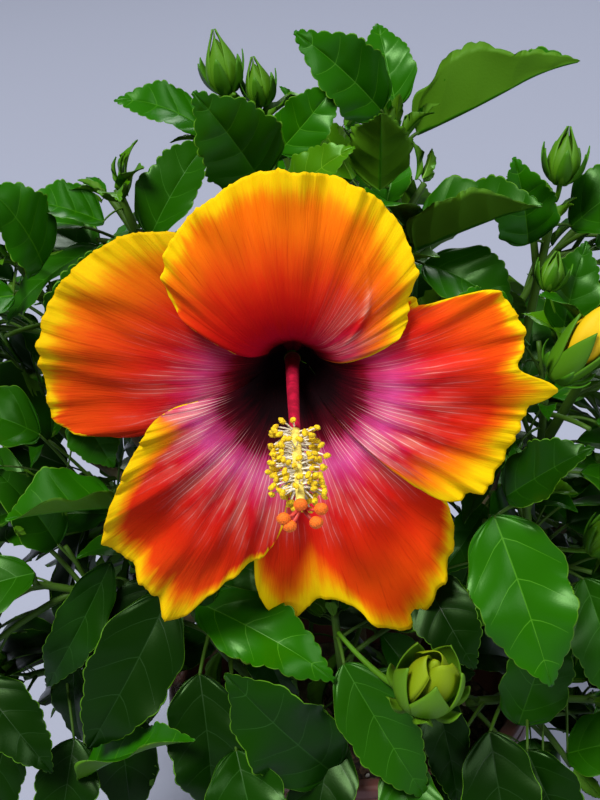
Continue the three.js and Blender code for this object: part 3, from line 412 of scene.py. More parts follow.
# ---- leaves ----
class Leaf:
    def __init__(self, base, tip, width, face, fold, arch, foot=None):
        self.base, self.tip, self.width = vec(base), vec(tip), width
        self.face, self.fold, self.arch, self.foot = vec(face), fold, arch, foot
        self.placed = self.young = False
        self.span = self.tip - self.base
        self.length = np.linalg.norm(self.span)
        along = self.span / self.length
        self.normal = unit(self.face - along * self.face.dot(along))
        self.side = np.cross(along, self.normal)

    def at(self, u, across, lift, margin=0.0):
        half = self.width / 2 * blade_outline(u) + margin
        rise = (self.arch * self.length * 4 * u * (1 - u)
                + abs(across) * half * math.sin(self.fold) + lift)
        return (self.base + self.span * u
                + self.side * across * half * math.cos(self.fold) + self.normal * rise)

    def petiole(self):
        end = self.at(0.1, 0, 0)
        knee = self.foot + (end - self.foot) * 0.55 + vec((0, 0, 2))
        return Limb("petiole", self.foot, end, knee, PETIOLE_RADIUS, PETIOLE_RADIUS * 0.85)


def blade_outline(u):
    return np.maximum(np.sin(math.pi * np.asarray(u, dtype=float) ** 0.75), 0) ** 0.85


def blade_sheet(leaf):
    rows = [[leaf.at(u, k, 0) for k in (-1, 0, 1)] for u in LEAF_STATIONS[1:-1]]
    triangles, edges = [], []
    for i, row in enumerate(rows):
        edges += [(row[0], row[1]), (row[1], row[2])]
        if i + 1 < len(rows):
            after = rows[i + 1]
            for k in range(2):
                triangles += [(row[k], row[k + 1], after[k]),
                              (row[k + 1], after[k + 1], after[k])]
                edges.append((row[k + 1], after[k]))
            edges += [(row[k], after[k]) for k in range(3)]
    for end, row in ((leaf.at(0, 0, 0), rows[0]), (leaf.at(1, 0, 0), rows[-1])):
        triangles += [(end, row[0], row[1]), (end, row[1], row[2])]
        edges += [(end, point) for point in row]
    return Shape(triangles, edges)


def blade_hull(leaf):
    corners = ((1, 1), (0, 1), (-1, 1), (-1, -1), (0, -1), (1, -1))
    rings = [[leaf.at(u, across, over * LEAF_FACE_ROOM, LEAF_MARGIN_ROOM)
              for across, over in corners] for u in LEAF_STATIONS[1:-1]]
    along = unit(leaf.span)
    return prism(rings, leaf.base - along * LEAF_MARGIN_ROOM, leaf.tip + along * LEAF_MARGIN_ROOM)


def limb_line(limb, *stations):
    """The limb's middle line, as edges to test against the hulls."""
    way = limb.point(np.array(stations))
    return Shape([], list(zip(way, way[1:])))


# ---- petals ----
def outline_radius(outline, degrees):
    angles, radii = zip(*outline)
    return np.interp(degrees, angles, radii)


def corolla_height(layer, degrees, radius):
    angle = np.radians(degrees)
    funnel = -26 * np.exp(-(radius - PETAL_CLAW_RADIUS) / 9)
    bowl = 3 * np.sin(math.pi * radius / 70)
    outer = np.maximum(radius - 35, 0) / 50
    ruffle = 2.4 * outer * np.sin(9 * angle + 0.6) + 1.4 * outer * np.sin(17 * angle)
    lapped = smoothstep(radius, 8, PETAL_LAP_RADIUS)
    return funnel + bowl + ruffle + layer * (3.2 * lapped + 1.4 * outer) - 3 * outer * outer


def petal_room(petal):
    _, claw, layer, outline = petal
    first, last = outline[0][0], outline[-1][0]

    def at(sweep, reach, lift):
        degrees = first + (last - first) * sweep
        outer = outline_radius(outline, degrees)
        off_claw = abs((degrees - claw + 540) % 360 - 180)
        beyond = smoothstep(off_claw, PETAL_CLAW_HALF, PETAL_CLAW_HALF + 4)
        inner = min(PETAL_CLAW_RADIUS + beyond * (PETAL_LAP_RADIUS - PETAL_CLAW_RADIUS),
                    0.8 * outer)
        radius = inner + (outer - inner) * reach
        angle = math.radians(degrees)
        return vec((THROAT[0] + radius * math.cos(angle),
                    THROAT[1] - corolla_height(layer, degrees, radius) - lift,
                    THROAT[2] + radius * math.sin(angle)))

    rings = [[at(i / 9, reach, 2.4) for reach in (0.1, 0.4, 0.7, 1)]
             + [at(i / 9, reach, -2.4) for reach in (1, 0.7, 0.4, 0.1)] for i in range(10)]
    return prism(rings, at(0, 0.5, 0), at(1, 0.5, 0))


COLUMN = Limb("column", (-23, -63.5, 300), (-20, -150, 286), (-23, -112, 303), 2.6, 1.6)


def column_room():
    reach = Limb("reach", *[COLUMN.points[k] for k in (0, 2, 1)], STAMEN_LENGTH, STAMEN_LENGTH)
    return limb_hull(reach, 4, 2.5)


# ---- growth: the source's seeded rule ----
class Seeded:
    def __init__(self, seed):
        self.state = seed & 0xFFFFFFFF

    def __call__(self):
        self.state = (self.state * 1664525 + 1013904223) & 0xFFFFFFFF
        return self.state / 4294967296


def square_to(direction, angle):
    helper = WORLD_X if abs(direction[2]) > 0.9 else WORLD_UP
    side = unit(np.cross(direction, helper))
    return side * math.cos(angle) + np.cross(direction, side) * math.sin(angle)


def grown_leaf(axis, t, turn, size, random, closeness=1.0):
    foot = axis.point(t)
    outward = unit(foot - CROWN_CENTRE)
    heading = unit(square_to(axis.tangent(t), turn) * 0.9 + outward * 0.7
                   + WORLD_UP * (0.75 * random() - 0.5))
    reach = (10 + 12 * random()) * closeness
    base = (foot + heading * reach + axis.tangent(t) * 0.4 * reach
            + WORLD_UP * 3 * closeness)
    length = size * (0.8 + 0.35 * random())
    tip = base + heading * length - WORLD_UP * length * (0.05 + 0.3 * random())
    face = WORLD_UP + outward * (0.2 + 0.7 * random())
    face = face + vec((0.5 * random() - 0.25, 0.5 * random() - 0.25, 0))
    width = length * (0.48 + 0.12 * random())
    return Leaf(base, tip, width, face, 0.1 + 0.35 * random(), 0.04 + 0.08 * random(), foot)


def inside_crown(leaf):
    out = (leaf.tip - CROWN_CENTRE) / CROWN_REACH
    if out[2] < 0:
        out[2] /= CROWN_DROOP
    middle = (leaf.base + leaf.tip) / 2
    return (np.linalg.norm(out) < 1
            and min(leaf.tip[2], leaf.base[2]) > CROWN_FLOOR
            and min(leaf.tip[1], middle[1], leaf.base[1]) > CROWN_FRONT)


limbs = {}
for name, (x, y), tip, root_radius, tip_radius in STEMS:
    root = vec((x, y, SOIL_LEVEL + CLEARANCE))
    control = vec((x, y, root[2] + 0.45 * (tip[2] - root[2])))
    limbs[name] = Limb(name, root, tip, control, root_radius, tip_radius, FLARE)
for name, parent_name, along, tip, arch in BOUGHS:
    parent = limbs[parent_name]
    root = parent.point(along)
    root_radius = min(0.8 * parent.radius(along), 3)
    limbs[name] = Limb(name, root, tip, arched_control(root, vec(tip), arch),
                       root_radius, BOUGH_TIP_RADIUS)

rooms = Rooms()
for limb in limbs.values():
    rooms.add(limb_hull(limb, 5, LIMB_ROOM))
turns = np.arange(12) * math.pi / 6
rooms.add(prism([[vec(((POT_RIM_RADIUS + 4) * math.cos(a), (POT_RIM_RADIUS + 4) * math.sin(a), z))
                  for a in turns] for z in (0, POT_HEIGHT + 2)],
                vec((0, 0, -1)), vec((0, 0, POT_HEIGHT + 3))))
for petal in PETALS:
    rooms.add(petal_room(petal))
rooms.add(column_room())


class Shoot:
    def __init__(self, index, name, carrier_name, tip, arch, leaf_count, twig_count):
        carrier = limbs[carrier_name]
        leaving = carrier.tangent(1)
        root = carrier.point(1) + leaving * (CLEARANCE + 0.02)
        control = (root + (vec(tip) - root) * 0.4
                   + leaving * 0.12 * np.linalg.norm(root - vec(tip)) + vec((0, 0, arch)))
        self.name = name
        self.stem = Limb(name, root, tip, control, carrier.radius(1), SHOOT_TIP_RADIUS)
        rooms.add(limb_hull(self.stem, 5, LIMB_ROOM))
        self.leaf_count, self.twig_count = leaf_count, twig_count
        self.random = Seeded(SEED_STEP * (index + 1))
        self.axes, self.leaves, self.buds, self.feet = [self.stem], [], [], []

    def foot_on(self, point):
        free = [i for i in range(6, 58) if all(abs(taken - i) >= 3 for taken in self.feet)]
        best = min(free, key=lambda i: np.linalg.norm(self.stem.point(i / 60) - point))
        self.feet.append(best)
        return self.stem.point(best / 60)


shoots = [Shoot(i, *row) for i, row in enumerate(SHOOTS)]
shoot_named = {shoot.name: shoot for shoot in shoots}

for name, base, tip, width, face, fold, arch in PLACED_LEAVES:
    leaf = Leaf(base, tip, width, face, fold, arch)
    leaf.placed = True
    leaf.foot = shoot_named[name].foot_on(leaf.base)
    if not rooms.blocks(blade_sheet(leaf)):
        shoot_named[name].leaves.append(leaf)
        rooms.add(blade_hull(leaf))

for name, base, tip, radius in BUDS:
    base, tip = vec(base), vec(tip)
    foot = shoot_named[name].foot_on(base)
    shoot_named[name].buds.append((foot, base, tip, radius))
    rooms.add(limb_hull(Limb("room", base, tip, (base + tip) / 2, radius, radius * 0.7),
                        2, LIMB_ROOM))


def grow_leaf(shoot, axis, t, size, turn, trials, random, closeness=1.0, carried_on=False):
    """Tries a leaf a few times. One carried on beyond the plan never hides open backdrop."""
    for trial in range(trials):
        leaf = grown_leaf(axis, t, turn + 1.3 * trial, size * (1 - 0.07 * trial), random,
                          closeness)
        if not inside_crown(leaf) or (carried_on and hides_sky(leaf)):
            continue
        petiole = limb_line(leaf.petiole(), *PETIOLE_STATIONS)
        if not rooms.blocks(blade_sheet(leaf)) and not rooms.blocks(petiole):
            shoot.leaves.append(leaf)
            rooms.add(blade_hull(leaf))
            return


for shoot in shoots:
    random = shoot.random
    for i in range(shoot.twig_count):
        t = 0.35 + 0.35 * (i + random()) / shoot.twig_count
        root = shoot.stem.point(t)
        outward = unit(root - CROWN_CENTRE)
        heading = unit(square_to(shoot.stem.tangent(t), GOLDEN_ANGLE * (i + 1) + 6 * random())
                       + outward * 0.8 + shoot.stem.tangent(t) * 0.5)
        tip = root + heading * (28 + 16 * random())
        twig = Limb("twig", root, tip, arched_control(root, tip, 1.5),
                    TWIG_RADIUS * 1.3, TWIG_RADIUS)
        if not rooms.blocks(limb_line(twig, *TWIG_STATIONS)) and tip[1] > CROWN_FRONT:
            shoot.axes.append(twig)
            rooms.add(limb_hull(twig, 2, LIMB_ROOM))
    for order, axis in enumerate(shoot.axes):
        count = shoot.leaf_count if order == 0 else 2
        for i in range(count):
            t = 0.22 + 0.76 * (i + 0.5) / count
            size = (62 if order == 0 else 52) * (1 - 0.25 * t)
            grow_leaf(shoot, axis, t, size, GOLDEN_ANGLE * i + order, 5, random)

# ---- where the backdrop shows between the sprays, in the picture's own units ----
PICTURE_WIDTH = 600
PICTURE_HEIGHT = 800
SENSOR_SIZE = 36
SKYLINE = ((-200, 240), (0, 205), (100, 200), (140, 172), (190, 158), (240, 122), (300, 116),
           (385, 126), (425, 185), (480, 205), (545, 215), (600, 200), (800, 240))
# left, top, right and bottom of each gap: the boxes that a scratch script measured on the
# photo, with each edge moved by up to 6 units
SKY_GAPS = ((558, 231, 602, 292), (470, 222, 532, 262), (424, 268, 462, 284),
            (564, 416, 588, 448), (8, 564, 52, 610), (464, 680, 526, 724), (0, 688, 32, 756),
            (148, 720, 173, 750), (62, 428, 94, 452), (190, 158, 232, 192))
CAMERA_MM = vec(CAMERA_AT) * 1000
LOOK_DOWN = math.radians(CAMERA_ELEVATION)
LOOK = vec((0, math.cos(LOOK_DOWN), -math.sin(LOOK_DOWN)))
LOOK_UP = np.cross(WORLD_X, LOOK)
PICTURE_FOCUS = CAMERA_LENS / SENSOR_SIZE * PICTURE_HEIGHT


def in_picture(point):
    away = point - CAMERA_MM
    scale = PICTURE_FOCUS / away.dot(LOOK)
    return (PICTURE_WIDTH / 2 + away[0] * scale,
            PICTURE_HEIGHT / 2 - away.dot(LOOK_UP) * scale)


def before_sky(*points):
    """True where a point would hide backdrop that stays open."""
    for point in points:
        x, y = in_picture(point)
        if y < np.interp(x, *zip(*SKYLINE)):
            return True
        if any(x0 < x < x1 and y0 < y < y1 for x0, y0, x1, y1 in SKY_GAPS):
            return True
    return False


def hides_sky(leaf):
    return before_sky(*(leaf.at(u, k, 0) for u in (0.1, 0.4, 0.7, 1) for k in (-0.8, 0, 0.8)))


# ---- growth carried on to finer twigs, within the same reach ----
FINE_TWIG_RADIUS = 0.9
FINE_SEED = 104729

# leaves that hang over the rim of the pot: shoot, foot and tip of the blade, width
RIM_LEAVES = [
    ("front_left", (-46, -72, 160), (-34, -94, 114), 30),
    ("front_left", (-64, -68, 152), (-60, -88, 108), 27),
    ("front_low", (-6, -72, 156), (-16, -96, 112), 26),
    ("front_low", (18, -72, 154), (28, -94, 110), 25),
    ("front_right", (46, -70, 160), (56, -90, 112), 29),
    ("front_right", (66, -62, 150), (86, -76, 110), 27),
    ("front_right", (34, -74, 140), (40, -94, 98), 24),
    ("low_left", (-104, -52, 142), (-110, -70, 100), 25),
    ("low_left", (-90, -40, 150), (-84, -56, 104), 28),
    ("low_left", (-78, -34, 158), (-70, -46, 108), 26),
    ("right_side", (98, -40, 160), (112, -54, 116), 28),
]
for name, base, tip, width in RIM_LEAVES:
    for trial in range(12):
        shift = vec((2.5 * (trial % 3 - 1), -2.2 * trial, 2 * (trial % 2)))
        leaf = Leaf(base + shift, tip + shift, width, VIEWER, 0.25, 0.08)
        if not rooms.blocks(blade_sheet(leaf)):
            leaf.foot = shoot_named[name].foot_on(leaf.base)
            shoot_named[name].leaves.append(leaf)
            rooms.add(blade_hull(leaf))
            break


def carry_on(shoot, axis, t, length, leaf_size, leaf_count, random):
    root = axis.point(t)
    outward = unit(root - CROWN_CENTRE)
    for _ in range(4):
        heading = unit(square_to(axis.tangent(t), 2 * math.pi * random()) + outward * 0.6
                       + axis.tangent(t) * 0.4 + WORLD_UP * (0.5 * random() - 0.2))
        tip = root + heading * length * (0.8 + 0.4 * random())
        twig = Limb("fine_twig", root, tip, arched_control(root, tip, 1.0),
                    FINE_TWIG_RADIUS * 1.2, FINE_TWIG_RADIUS)
        if (rooms.blocks(limb_line(twig, *TWIG_STATIONS)) or tip[1] < CROWN_FRONT
                or before_sky(tip)):
            continue
        before = len(shoot.leaves)
        for i in range(leaf_count):
            at = 0.35 + 0.63 * (i + 0.5) / leaf_count
            grow_leaf(shoot, twig, at, leaf_size * (1 - 0.2 * at), GOLDEN_ANGLE * i, 5,
                      random, 0.6, True)
        if len(shoot.leaves) > before:
            shoot.fine_twigs.append(twig)
            rooms.add(limb_hull(twig, 2, LIMB_ROOM))
            return


for index, shoot in enumerate(shoots):
    shoot.fine_twigs = []
    random = Seeded(FINE_SEED * (index + 1))
    for axis in list(shoot.axes):
        steps = 6 if axis is shoot.stem else 3
        for k in range(steps):
            carry_on(shoot, axis, 0.15 + 0.8 * (k + random()) / steps, 26, 50, 3, random)
    for k in range(6):
        grow_leaf(shoot, shoot.stem, 0.1 + 0.88 * random(), 44, 6.28 * random(), 4,
                  random, 0.8, True)
for index, (name, limb) in enumerate(limbs.items()):
    if not name.startswith("bough"):
        continue
    random = Seeded(FINE_SEED * (index + 101))
    near = min(shoots, key=lambda s: np.linalg.norm(s.stem.points[0] - limb.points[2]))
    for k in range(4):
        carry_on(near, limb, 0.4 + 0.55 * (k + random()) / 4, 22, 48, 3, random)
for shoot in shoots:
    shoot.leaves = [leaf for leaf in shoot.leaves if leaf.placed or not hides_sky(leaf)]


# ---- the end of each shoot and twig, with its rosette of young leaves ----
ALONG_AXIS = np.linspace(0, 1, 41)
FOOT_NEAR = 1.5
NO_ROSETTE = ("left_mid", "left_low")


def shown_end(axis, leaves):
    """How far a limb is drawn: to its last leaf, or to where the open backdrop begins."""
    spots = axis.point(ALONG_AXIS)
    hidden = [t for t, spot in zip(ALONG_AXIS, spots) if not before_sky(spot)]
    for leaf in leaves:
        gaps = np.linalg.norm(spots - leaf.foot, axis=1)
        if gaps.min() < FOOT_NEAR:
            hidden.append(min(ALONG_AXIS[gaps.argmin()] + 0.03, 1))
    return max(hidden, default=1.0)


def add_rosette(shoot, axis, random):
    along, end = axis.tangent(axis.end), axis.point(axis.end)
    for k in range(6 if axis is shoot.stem else 3):
        out = square_to(along, GOLDEN_ANGLE * k + 6 * random())
        size = (9 + 2.6 * k) * (0.8 + 0.4 * random())
        base = end + along * (1.5 - 0.9 * k) + out * (1.2 + 0.9 * k)
        tip = base + unit(along * (1.1 - 0.16 * k) + out * (0.35 + 0.14 * k)) * size
        leaf = Leaf(base, tip, size * 0.48, along + out * -0.6, 0.5, 0.1)
        leaf.foot = axis.point(max(0.9, 1 - 0.02 * k) * axis.end)
        if tip[1] > CROWN_FRONT - 20:
            shoot.leaves.append(leaf)
            leaf.placed = leaf.young = True


for index, shoot in enumerate(shoots):
    random = Seeded(FINE_SEED * (index + 201))
    for axis in shoot.axes + shoot.fine_twigs:
        axis.end = shown_end(axis, shoot.leaves)
    for axis in () if shoot.name in NO_ROSETTE else shoot.axes:
        add_rosette(shoot, axis, random)


# ---- meshes from arrays ----
def make_piece(name, parts, materials, attributes=None):
    """One mesh from parts of (points in mm, quads, slot of each quad). A quad whose corners
    repeat becomes a triangle."""
    points = np.concatenate([part[0] for part in parts])
    shift = np.cumsum([0] + [len(part[0]) for part in parts[:-1]])
    quads = np.concatenate([part[1] + s for part, s in zip(parts, shift)])
    slots = np.concatenate([np.broadcast_to(part[2], len(part[1])) for part in parts])
    keep = quads != np.roll(quads, 1, axis=1)
    corners = keep.sum(axis=1)
    whole = corners >= 3
    quads, keep, corners, slots = quads[whole], keep[whole], corners[whole], slots[whole]
    loops = quads.reshape(-1)[keep.reshape(-1)]
    mesh = bpy.data.meshes.new(name)
    mesh.vertices.add(len(points))
    mesh.vertices.foreach_set("co", (points / 1000).astype(np.float32).reshape(-1))
    mesh.loops.add(len(loops))
    mesh.loops.foreach_set("vertex_index", loops.astype(np.int32))
    mesh.polygons.add(len(corners))
    mesh.polygons.foreach_set("loop_start", (np.cumsum(corners) - corners).astype(np.int32))
    mesh.polygons.foreach_set("material_index", slots.astype(np.int32))
    mesh.update(calc_edges=True)
    mesh.validate()
    mesh.shade_smooth()
    for key, values in (attributes or {}).items():
        layer = mesh.attributes.new(key, "FLOAT_VECTOR", "POINT")
        layer.data.foreach_set("vector", values.astype(np.float32).reshape(-1))
    for material in materials:
        mesh.materials.append(material)
    piece = bpy.data.objects.new(name, mesh)
    bpy.context.scene.collection.objects.link(piece)
    return piece


def lattice(rows, columns, wrap):
    """Quads between neighbouring rows of a grid of points."""
    index = np.arange(rows * columns).reshape(rows, columns)
    right = np.roll(index, -1, axis=1)
    if not wrap:
        index, right = index[:, :-1], right[:, :-1]
    return np.stack([index[:-1], right[:-1], right[1:], index[1:]], axis=-1).reshape(-1, 4)


def sheet(front, back, slot=0):
    """Two facing grids of points, closed along their common rim."""
    rows, columns = front.shape[:2]
    flat = lattice(rows, columns, False)
    count = rows * columns
    rim = np.concatenate([np.arange(columns), np.arange(1, rows) * columns + columns - 1,
                          np.arange(columns - 2, -1, -1) + (rows - 1) * columns,
                          np.arange(rows - 2, 0, -1) * columns])
    after = np.roll(rim, -1)
    walls = np.stack([rim, rim + count, after + count, after], axis=-1)
    quads = np.concatenate([flat, flat[:, ::-1] + count, walls])
    points = np.concatenate([front.reshape(-1, 3), back.reshape(-1, 3)])
    return points, quads, np.full(len(quads), slot)


def tube(rings, slot=0):
    """Closed rings of points, rows of shape (n, sides, 3), with a middle point at each end."""
    rows, sides = rings.shape[:2]
    points = np.concatenate([rings.reshape(-1, 3), [rings[0].mean(axis=0)],
                             [rings[-1].mean(axis=0)]])
    first, last = rows * sides, rows * sides + 1
    around = np.arange(sides)
    after = np.roll(around, -1)
    foot = np.stack([np.full(sides, first), after, around, around], axis=-1)
    top = np.stack([np.full(sides, last), around + (rows - 1) * sides,
                    after + (rows - 1) * sides, after + (rows - 1) * sides], axis=-1)
    quads = np.concatenate([lattice(rows, sides, True), foot, top])
    return points, quads, np.full(len(quads), slot)


def limb_rings(limb, sides, steps, radius=None, start=0.0, end=1.0):
    t = np.linspace(start, end, steps + 1)
    angle = np.arange(sides) * 2 * math.pi / sides
    across, over = limb.frame(t)
    spread = (limb.radius(t) if radius is None else radius(t))
    spread = np.broadcast_to(np.reshape(spread, (steps + 1, -1)), (steps + 1, sides))
    return (limb.point(t)[:, None]
            + across[:, None] * (np.cos(angle) * spread)[..., None]
            + over[:, None] * (np.sin(angle) * spread)[..., None])


# ---- materials ----
def linear(red, green, blue):
    def one(value):
        value /= 255
        return value / 12.92 if value <= 0.04045 else ((value + 0.055) / 1.055) ** 2.4
    return (one(red), one(green), one(blue), 1)


class Finish:
    """A material with short ways to add and join nodes."""

    def __init__(self, name, color, roughness, **sockets):
        self.material = bpy.data.materials.new(name)
        self.material.use_nodes = True
        self.nodes = self.material.node_tree.nodes
        self.links = self.material.node_tree.links
        self.shader = self.nodes["Principled BSDF"]
        self.shader.inputs["Base Color"].default_value = color
        self.shader.inputs["Roughness"].default_value = roughness
        for key, value in sockets.items():
            self.shader.inputs[key.replace("_", " ")].default_value = value
        self.place = None

    def node(self, kind, values=None, **settings):
        node = self.nodes.new("ShaderNode" + kind)
        for key, value in settings.items():
            setattr(node, key, value)
        for key, value in (values or {}).items():
            if isinstance(value, bpy.types.NodeSocket):
                self.links.new(value, node.inputs[key])
            else:
                node.inputs[key].default_value = value
        return node

    def spot(self):
        if self.place is None:
            self.place = self.node("TexCoord").outputs["Object"]
        return self.place

    def noise(self, scale, detail=3.0, where=None, roughness=0.5, distortion=0.0):
        values = {"Vector": where or self.spot(), "Scale": scale, "Detail": detail,
                  "Roughness": roughness, "Distortion": distortion}
        return self.node("TexNoise", values).outputs["Fac"]

    def math(self, operation, a, b=0.0, c=0.0, clamp=False):
        node = self.node("Math", operation=operation, use_clamp=clamp)
        for socket, value in zip(node.inputs, (a, b, c)):
            if isinstance(value, bpy.types.NodeSocket):
                self.links.new(value, socket)
            else:
                socket.default_value = value
        return node.outputs[0]

    def ramp(self, factor, stops):
        node = self.node("ValToRGB", {"Fac": factor})
        elements = node.color_ramp.elements
        while len(elements) < len(stops):
            elements.new(0.5)
        for element, (position, color) in zip(elements, stops):
            element.position = position
            element.color = color
        return node.outputs["Color"]

    def mix(self, factor, a, b, blend="MIX"):
        node = self.node("Mix", data_type="RGBA", blend_type=blend)
        for socket, value in ((node.inputs[0], factor), (node.inputs[6], a), (node.inputs[7], b)):
            if isinstance(value, bpy.types.NodeSocket):
                self.links.new(value, socket)
            else:
                socket.default_value = value
        return node.outputs[2]

    def step(self, value, low, high):
        node = self.node("MapRange", {"Value": value, "From Min": low, "From Max": high},
                         interpolation_type="SMOOTHSTEP")
        return node.outputs["Result"]

    def color(self, value):
        self.links.new(value, self.shader.inputs["Base Color"])
        return self

    def rough(self, value):
        self.links.new(value, self.shader.inputs["Roughness"])
        return self

    def bump(self, height, strength, distance):
        node = self.node("Bump", {"Height": height, "Strength": strength, "Distance": distance})
        self.links.new(node.outputs["Normal"], self.shader.inputs["Normal"])
        return self


def leaf_finish(name, color, roughness, grain=0.12, **sockets):
    sockets = {"Specular_IOR_Level": 0.2, **sockets}
    finish = Finish(name, color, roughness, **sockets)
    finish.bump(finish.noise(1400, 2), grain, 0.0002)
    return finish.material


GLOSS_TINT = (0.55, 1.0, 0.4, 1)
# leaf greens from darkest to palest, each with its vein green. Besides a tone dealt at random, the
# darker ones hold painted shade and the paler ones painted light, by a leaf's height and on chosen
# front leaves; fresh is the young leaves' own green
GREENS = (
    ("deep", linear(8, 34, 1), linear(15, 47, 2)),
    ("dark", linear(14, 50, 1), linear(25, 68, 3)),
    ("mid", linear(24, 72, 1), linear(40, 94, 5)),
    ("bright", linear(28, 86, 0), linear(56, 116, 8)),
    ("fresh", linear(58, 108, 3), linear(90, 136, 14)),
)
UNDERSIDE = leaf_finish("leaf_underside", linear(64, 110, 2), 0.65, 0.3)
MARGIN = leaf_finish("leaf_margin", linear(72, 120, 10), 0.5)
WOOD = leaf_finish("green_wood", linear(54, 86, 16), 0.55, 0.3)


# ---- leaf blades with their veins, teeth and stalks ----
def blade_rim(u):
    """A blunter outline than the plan's, inside the same room."""
    sharp = 1 - 0.3 * smoothstep(u, 0.74, 0.98)
    return np.maximum(np.sin(math.pi * u ** 0.77), 0) ** 0.7 * sharp


class LeafGrid:
    """Rows run along the side veins, from the midrib out and forward to the margin."""

    def __init__(self, veins, between, columns, under):
        rows = [(0.0, 0.0, 0.0, 0.0, False)]
        edges = [0.0] + [0.12 + 0.75 * k / (veins - 1) for k in range(veins)] + [1.0]
        for k in range(veins + 1):
            low, high = edges[k], edges[k + 1]
            for m in range(1, between + 1):
                part = m / (between + 1)
                # two rounded teeth between neighbouring veins, with a narrow notch between
                phase = abs((2 * part + 0.5) % 1 - 0.5)
                tooth = 1 - 2 * (phase / 0.5) ** 2.5
                rows.append((low + (high - low) * part, 0.0, part, tooth, False))
            if k < veins:
                rows.append((high, -VEIN_HALF, 0.0, 1.0, True))
                rows.append((high, VEIN_HALF, 0.0, 1.0, False))
        rows.append((1.0, 0.0, 0.0, 0.0, False))
        self.s, self.breadth, self.part, self.tooth, vein_rows = (
            np.array(c, dtype=float) for c in zip(*rows))
        across = np.array([-c for c in columns[:0:-1]] + list(columns))
        below = np.array([-c for c in under[:0:-1]] + list(under))
        self.across, self.below = across, below
        n, wide, low_wide = len(self.s), len(across), len(below)
        top = lattice(n, wide, False)
        slot = np.zeros((n - 1, wide - 1), dtype=int)
        middle = np.abs((across[1:] + across[:-1]) / 2)
        slot[np.ix_(vein_rows[:-1] > 0, middle < 0.86)] = 1
        slot[:, middle < columns[1]] = 1
        slot[:, middle > columns[-2]] = 3
        # the underside shares the margin's points
        start = n * wide
        index = np.zeros((n, low_wide), dtype=int)
        index[:, 0] = np.arange(n) * wide
        index[:, -1] = np.arange(n) * wide + wide - 1
        index[:, 1:-1] = start + np.arange(n * (low_wide - 2)).reshape(n, -1)
        low = np.stack([index[:-1, :-1], index[1:, :-1], index[1:, 1:], index[:-1, 1:]], -1)
        under_slot = np.full((n - 1, low_wide - 1), 2)
        under_slot[:, np.abs((below[1:] + below[:-1]) / 2) < under[1]] = 1
        self.quads = np.concatenate([top, low.reshape(-1, 4)])
        self.slots = np.concatenate([slot.reshape(-1), under_slot.reshape(-1)])
        # the first and last rows are single points
        ends = {}
        for row, keep in ((0, 0), (n - 1, (n - 1) * wide)):
            for value in list(range(row * wide, row * wide + wide)) + list(index[row]):
                ends[value] = keep
        remap = np.arange(start + n * (low_wide - 2))
        for value, keep in ends.items():
            remap[value] = keep
        self.quads = remap[self.quads]

    def place(self, leaf, random):
        half = leaf.width / 2
        wave = leaf.length * (0.02 + 0.035 * random.random())
        beats = 1.2 + 1.3 * random.random()
        phases = random.random(2) * 2 * math.pi
        curl = 0.5 * random.random() + 0.1
        twist = 0.5 * (random.random() - 0.5)
        uneven = 1 + 0.08 * (random.random() - 0.5)
        high = float(smoothstep(leaf.tip[2], 230, 320))
        depth = (0.5 + 0.5 * random.random()) * min(1, leaf.length / 55)
        depth *= 0.3 + 0.35 * random.random() * (1 - high) + 0.5 * high
        quilt = 0.024 + 0.016 * high
        bend = 0.05 * (random.random() - 0.5) * leaf.length

        def surface(across, lift):
            v = np.abs(across)[None, :]
            left = (across < 0)[None, :]
            s = self.s[:, None] + self.breadth[:, None] * (1 - 0.75 * v)
            middle, outer = np.maximum((s - 0.2) / 0.8, 0), s ** 0.76
            rim = half * blade_rim(outer)
            slope = half * (blade_rim(np.minimum(outer + 0.01, 1)) - blade_rim(
                np.maximum(outer - 0.01, 0))) / (0.02 * leaf.length)
            slope = slope / np.sqrt(1 + slope * slope)
            toothed = smoothstep(outer, 0.22, 0.5)
            tooth = self.tooth[:, None] * toothed * v ** 10 * depth
            u = middle + (outer - middle) * v ** 1.35 - slope * tooth / leaf.length
            x = v * rim + tooth * np.sqrt(1 - slope * slope)
            x = x * np.where(left, uneven, 2 - uneven)
            x = x * (1 + 0.05 * v * np.sin(2 * math.pi * (beats + 2) * u + 2 * phases[0]))
            puff = np.sin(math.pi * self.part[:, None]) * np.sin(math.pi * v ** 0.8) ** 0.6
            groove = np.exp(-(v / 0.07) ** 2) * (1 - u)
            phase = np.where(left, phases[0], phases[1])
            swell = np.sin(math.pi * np.clip(u, 0, 1))
            rise = (leaf.arch * leaf.length * 4 * u * (1 - u)
                    + math.sin(leaf.fold) * (np.sqrt(x * x + 4) - 2)
                    + wave * v ** 2 * np.sin(2 * math.pi * beats * u + phase) * swell ** 0.5
                    - curl * leaf.length * np.maximum(u - 0.65, 0) ** 2
                    + np.where(left, -1, 1) * x * twist * (u - 0.5)
                    + quilt * half * puff - 0.03 * half * groove + lift)
            sign = np.where(left, -1, 1)
            return (leaf.base + leaf.span * u[..., None]
                    + leaf.side * (sign * x * math.cos(leaf.fold) + bend * swell)[..., None]
                    + leaf.normal * rise[..., None])

        top = surface(self.across, 0.0)
        thick = np.where(np.abs(self.below) < 0.01, -0.95, -0.45)[None, :]
        under = surface(self.below, thick * (1 - 0.45 * self.s[:, None]))
        return np.concatenate([top.reshape(-1, 3), under[:, 1:-1].reshape(-1, 3)])


VEIN_HALF = 0.003
FINE = LeafGrid(5, 7, (0, 0.016, 0.24, 0.48, 0.7, 0.88, 0.978, 1), (0, 0.05, 0.3, 0.6, 0.86, 1))
LARGE = LeafGrid(4, 3, (0, 0.02, 0.3, 0.62, 0.9, 0.975, 1), (0, 0.06, 0.55, 1))
SMALL = LeafGrid(3, 3, (0, 0.025, 0.45, 0.85, 0.97, 1), (0, 0.07, 1))
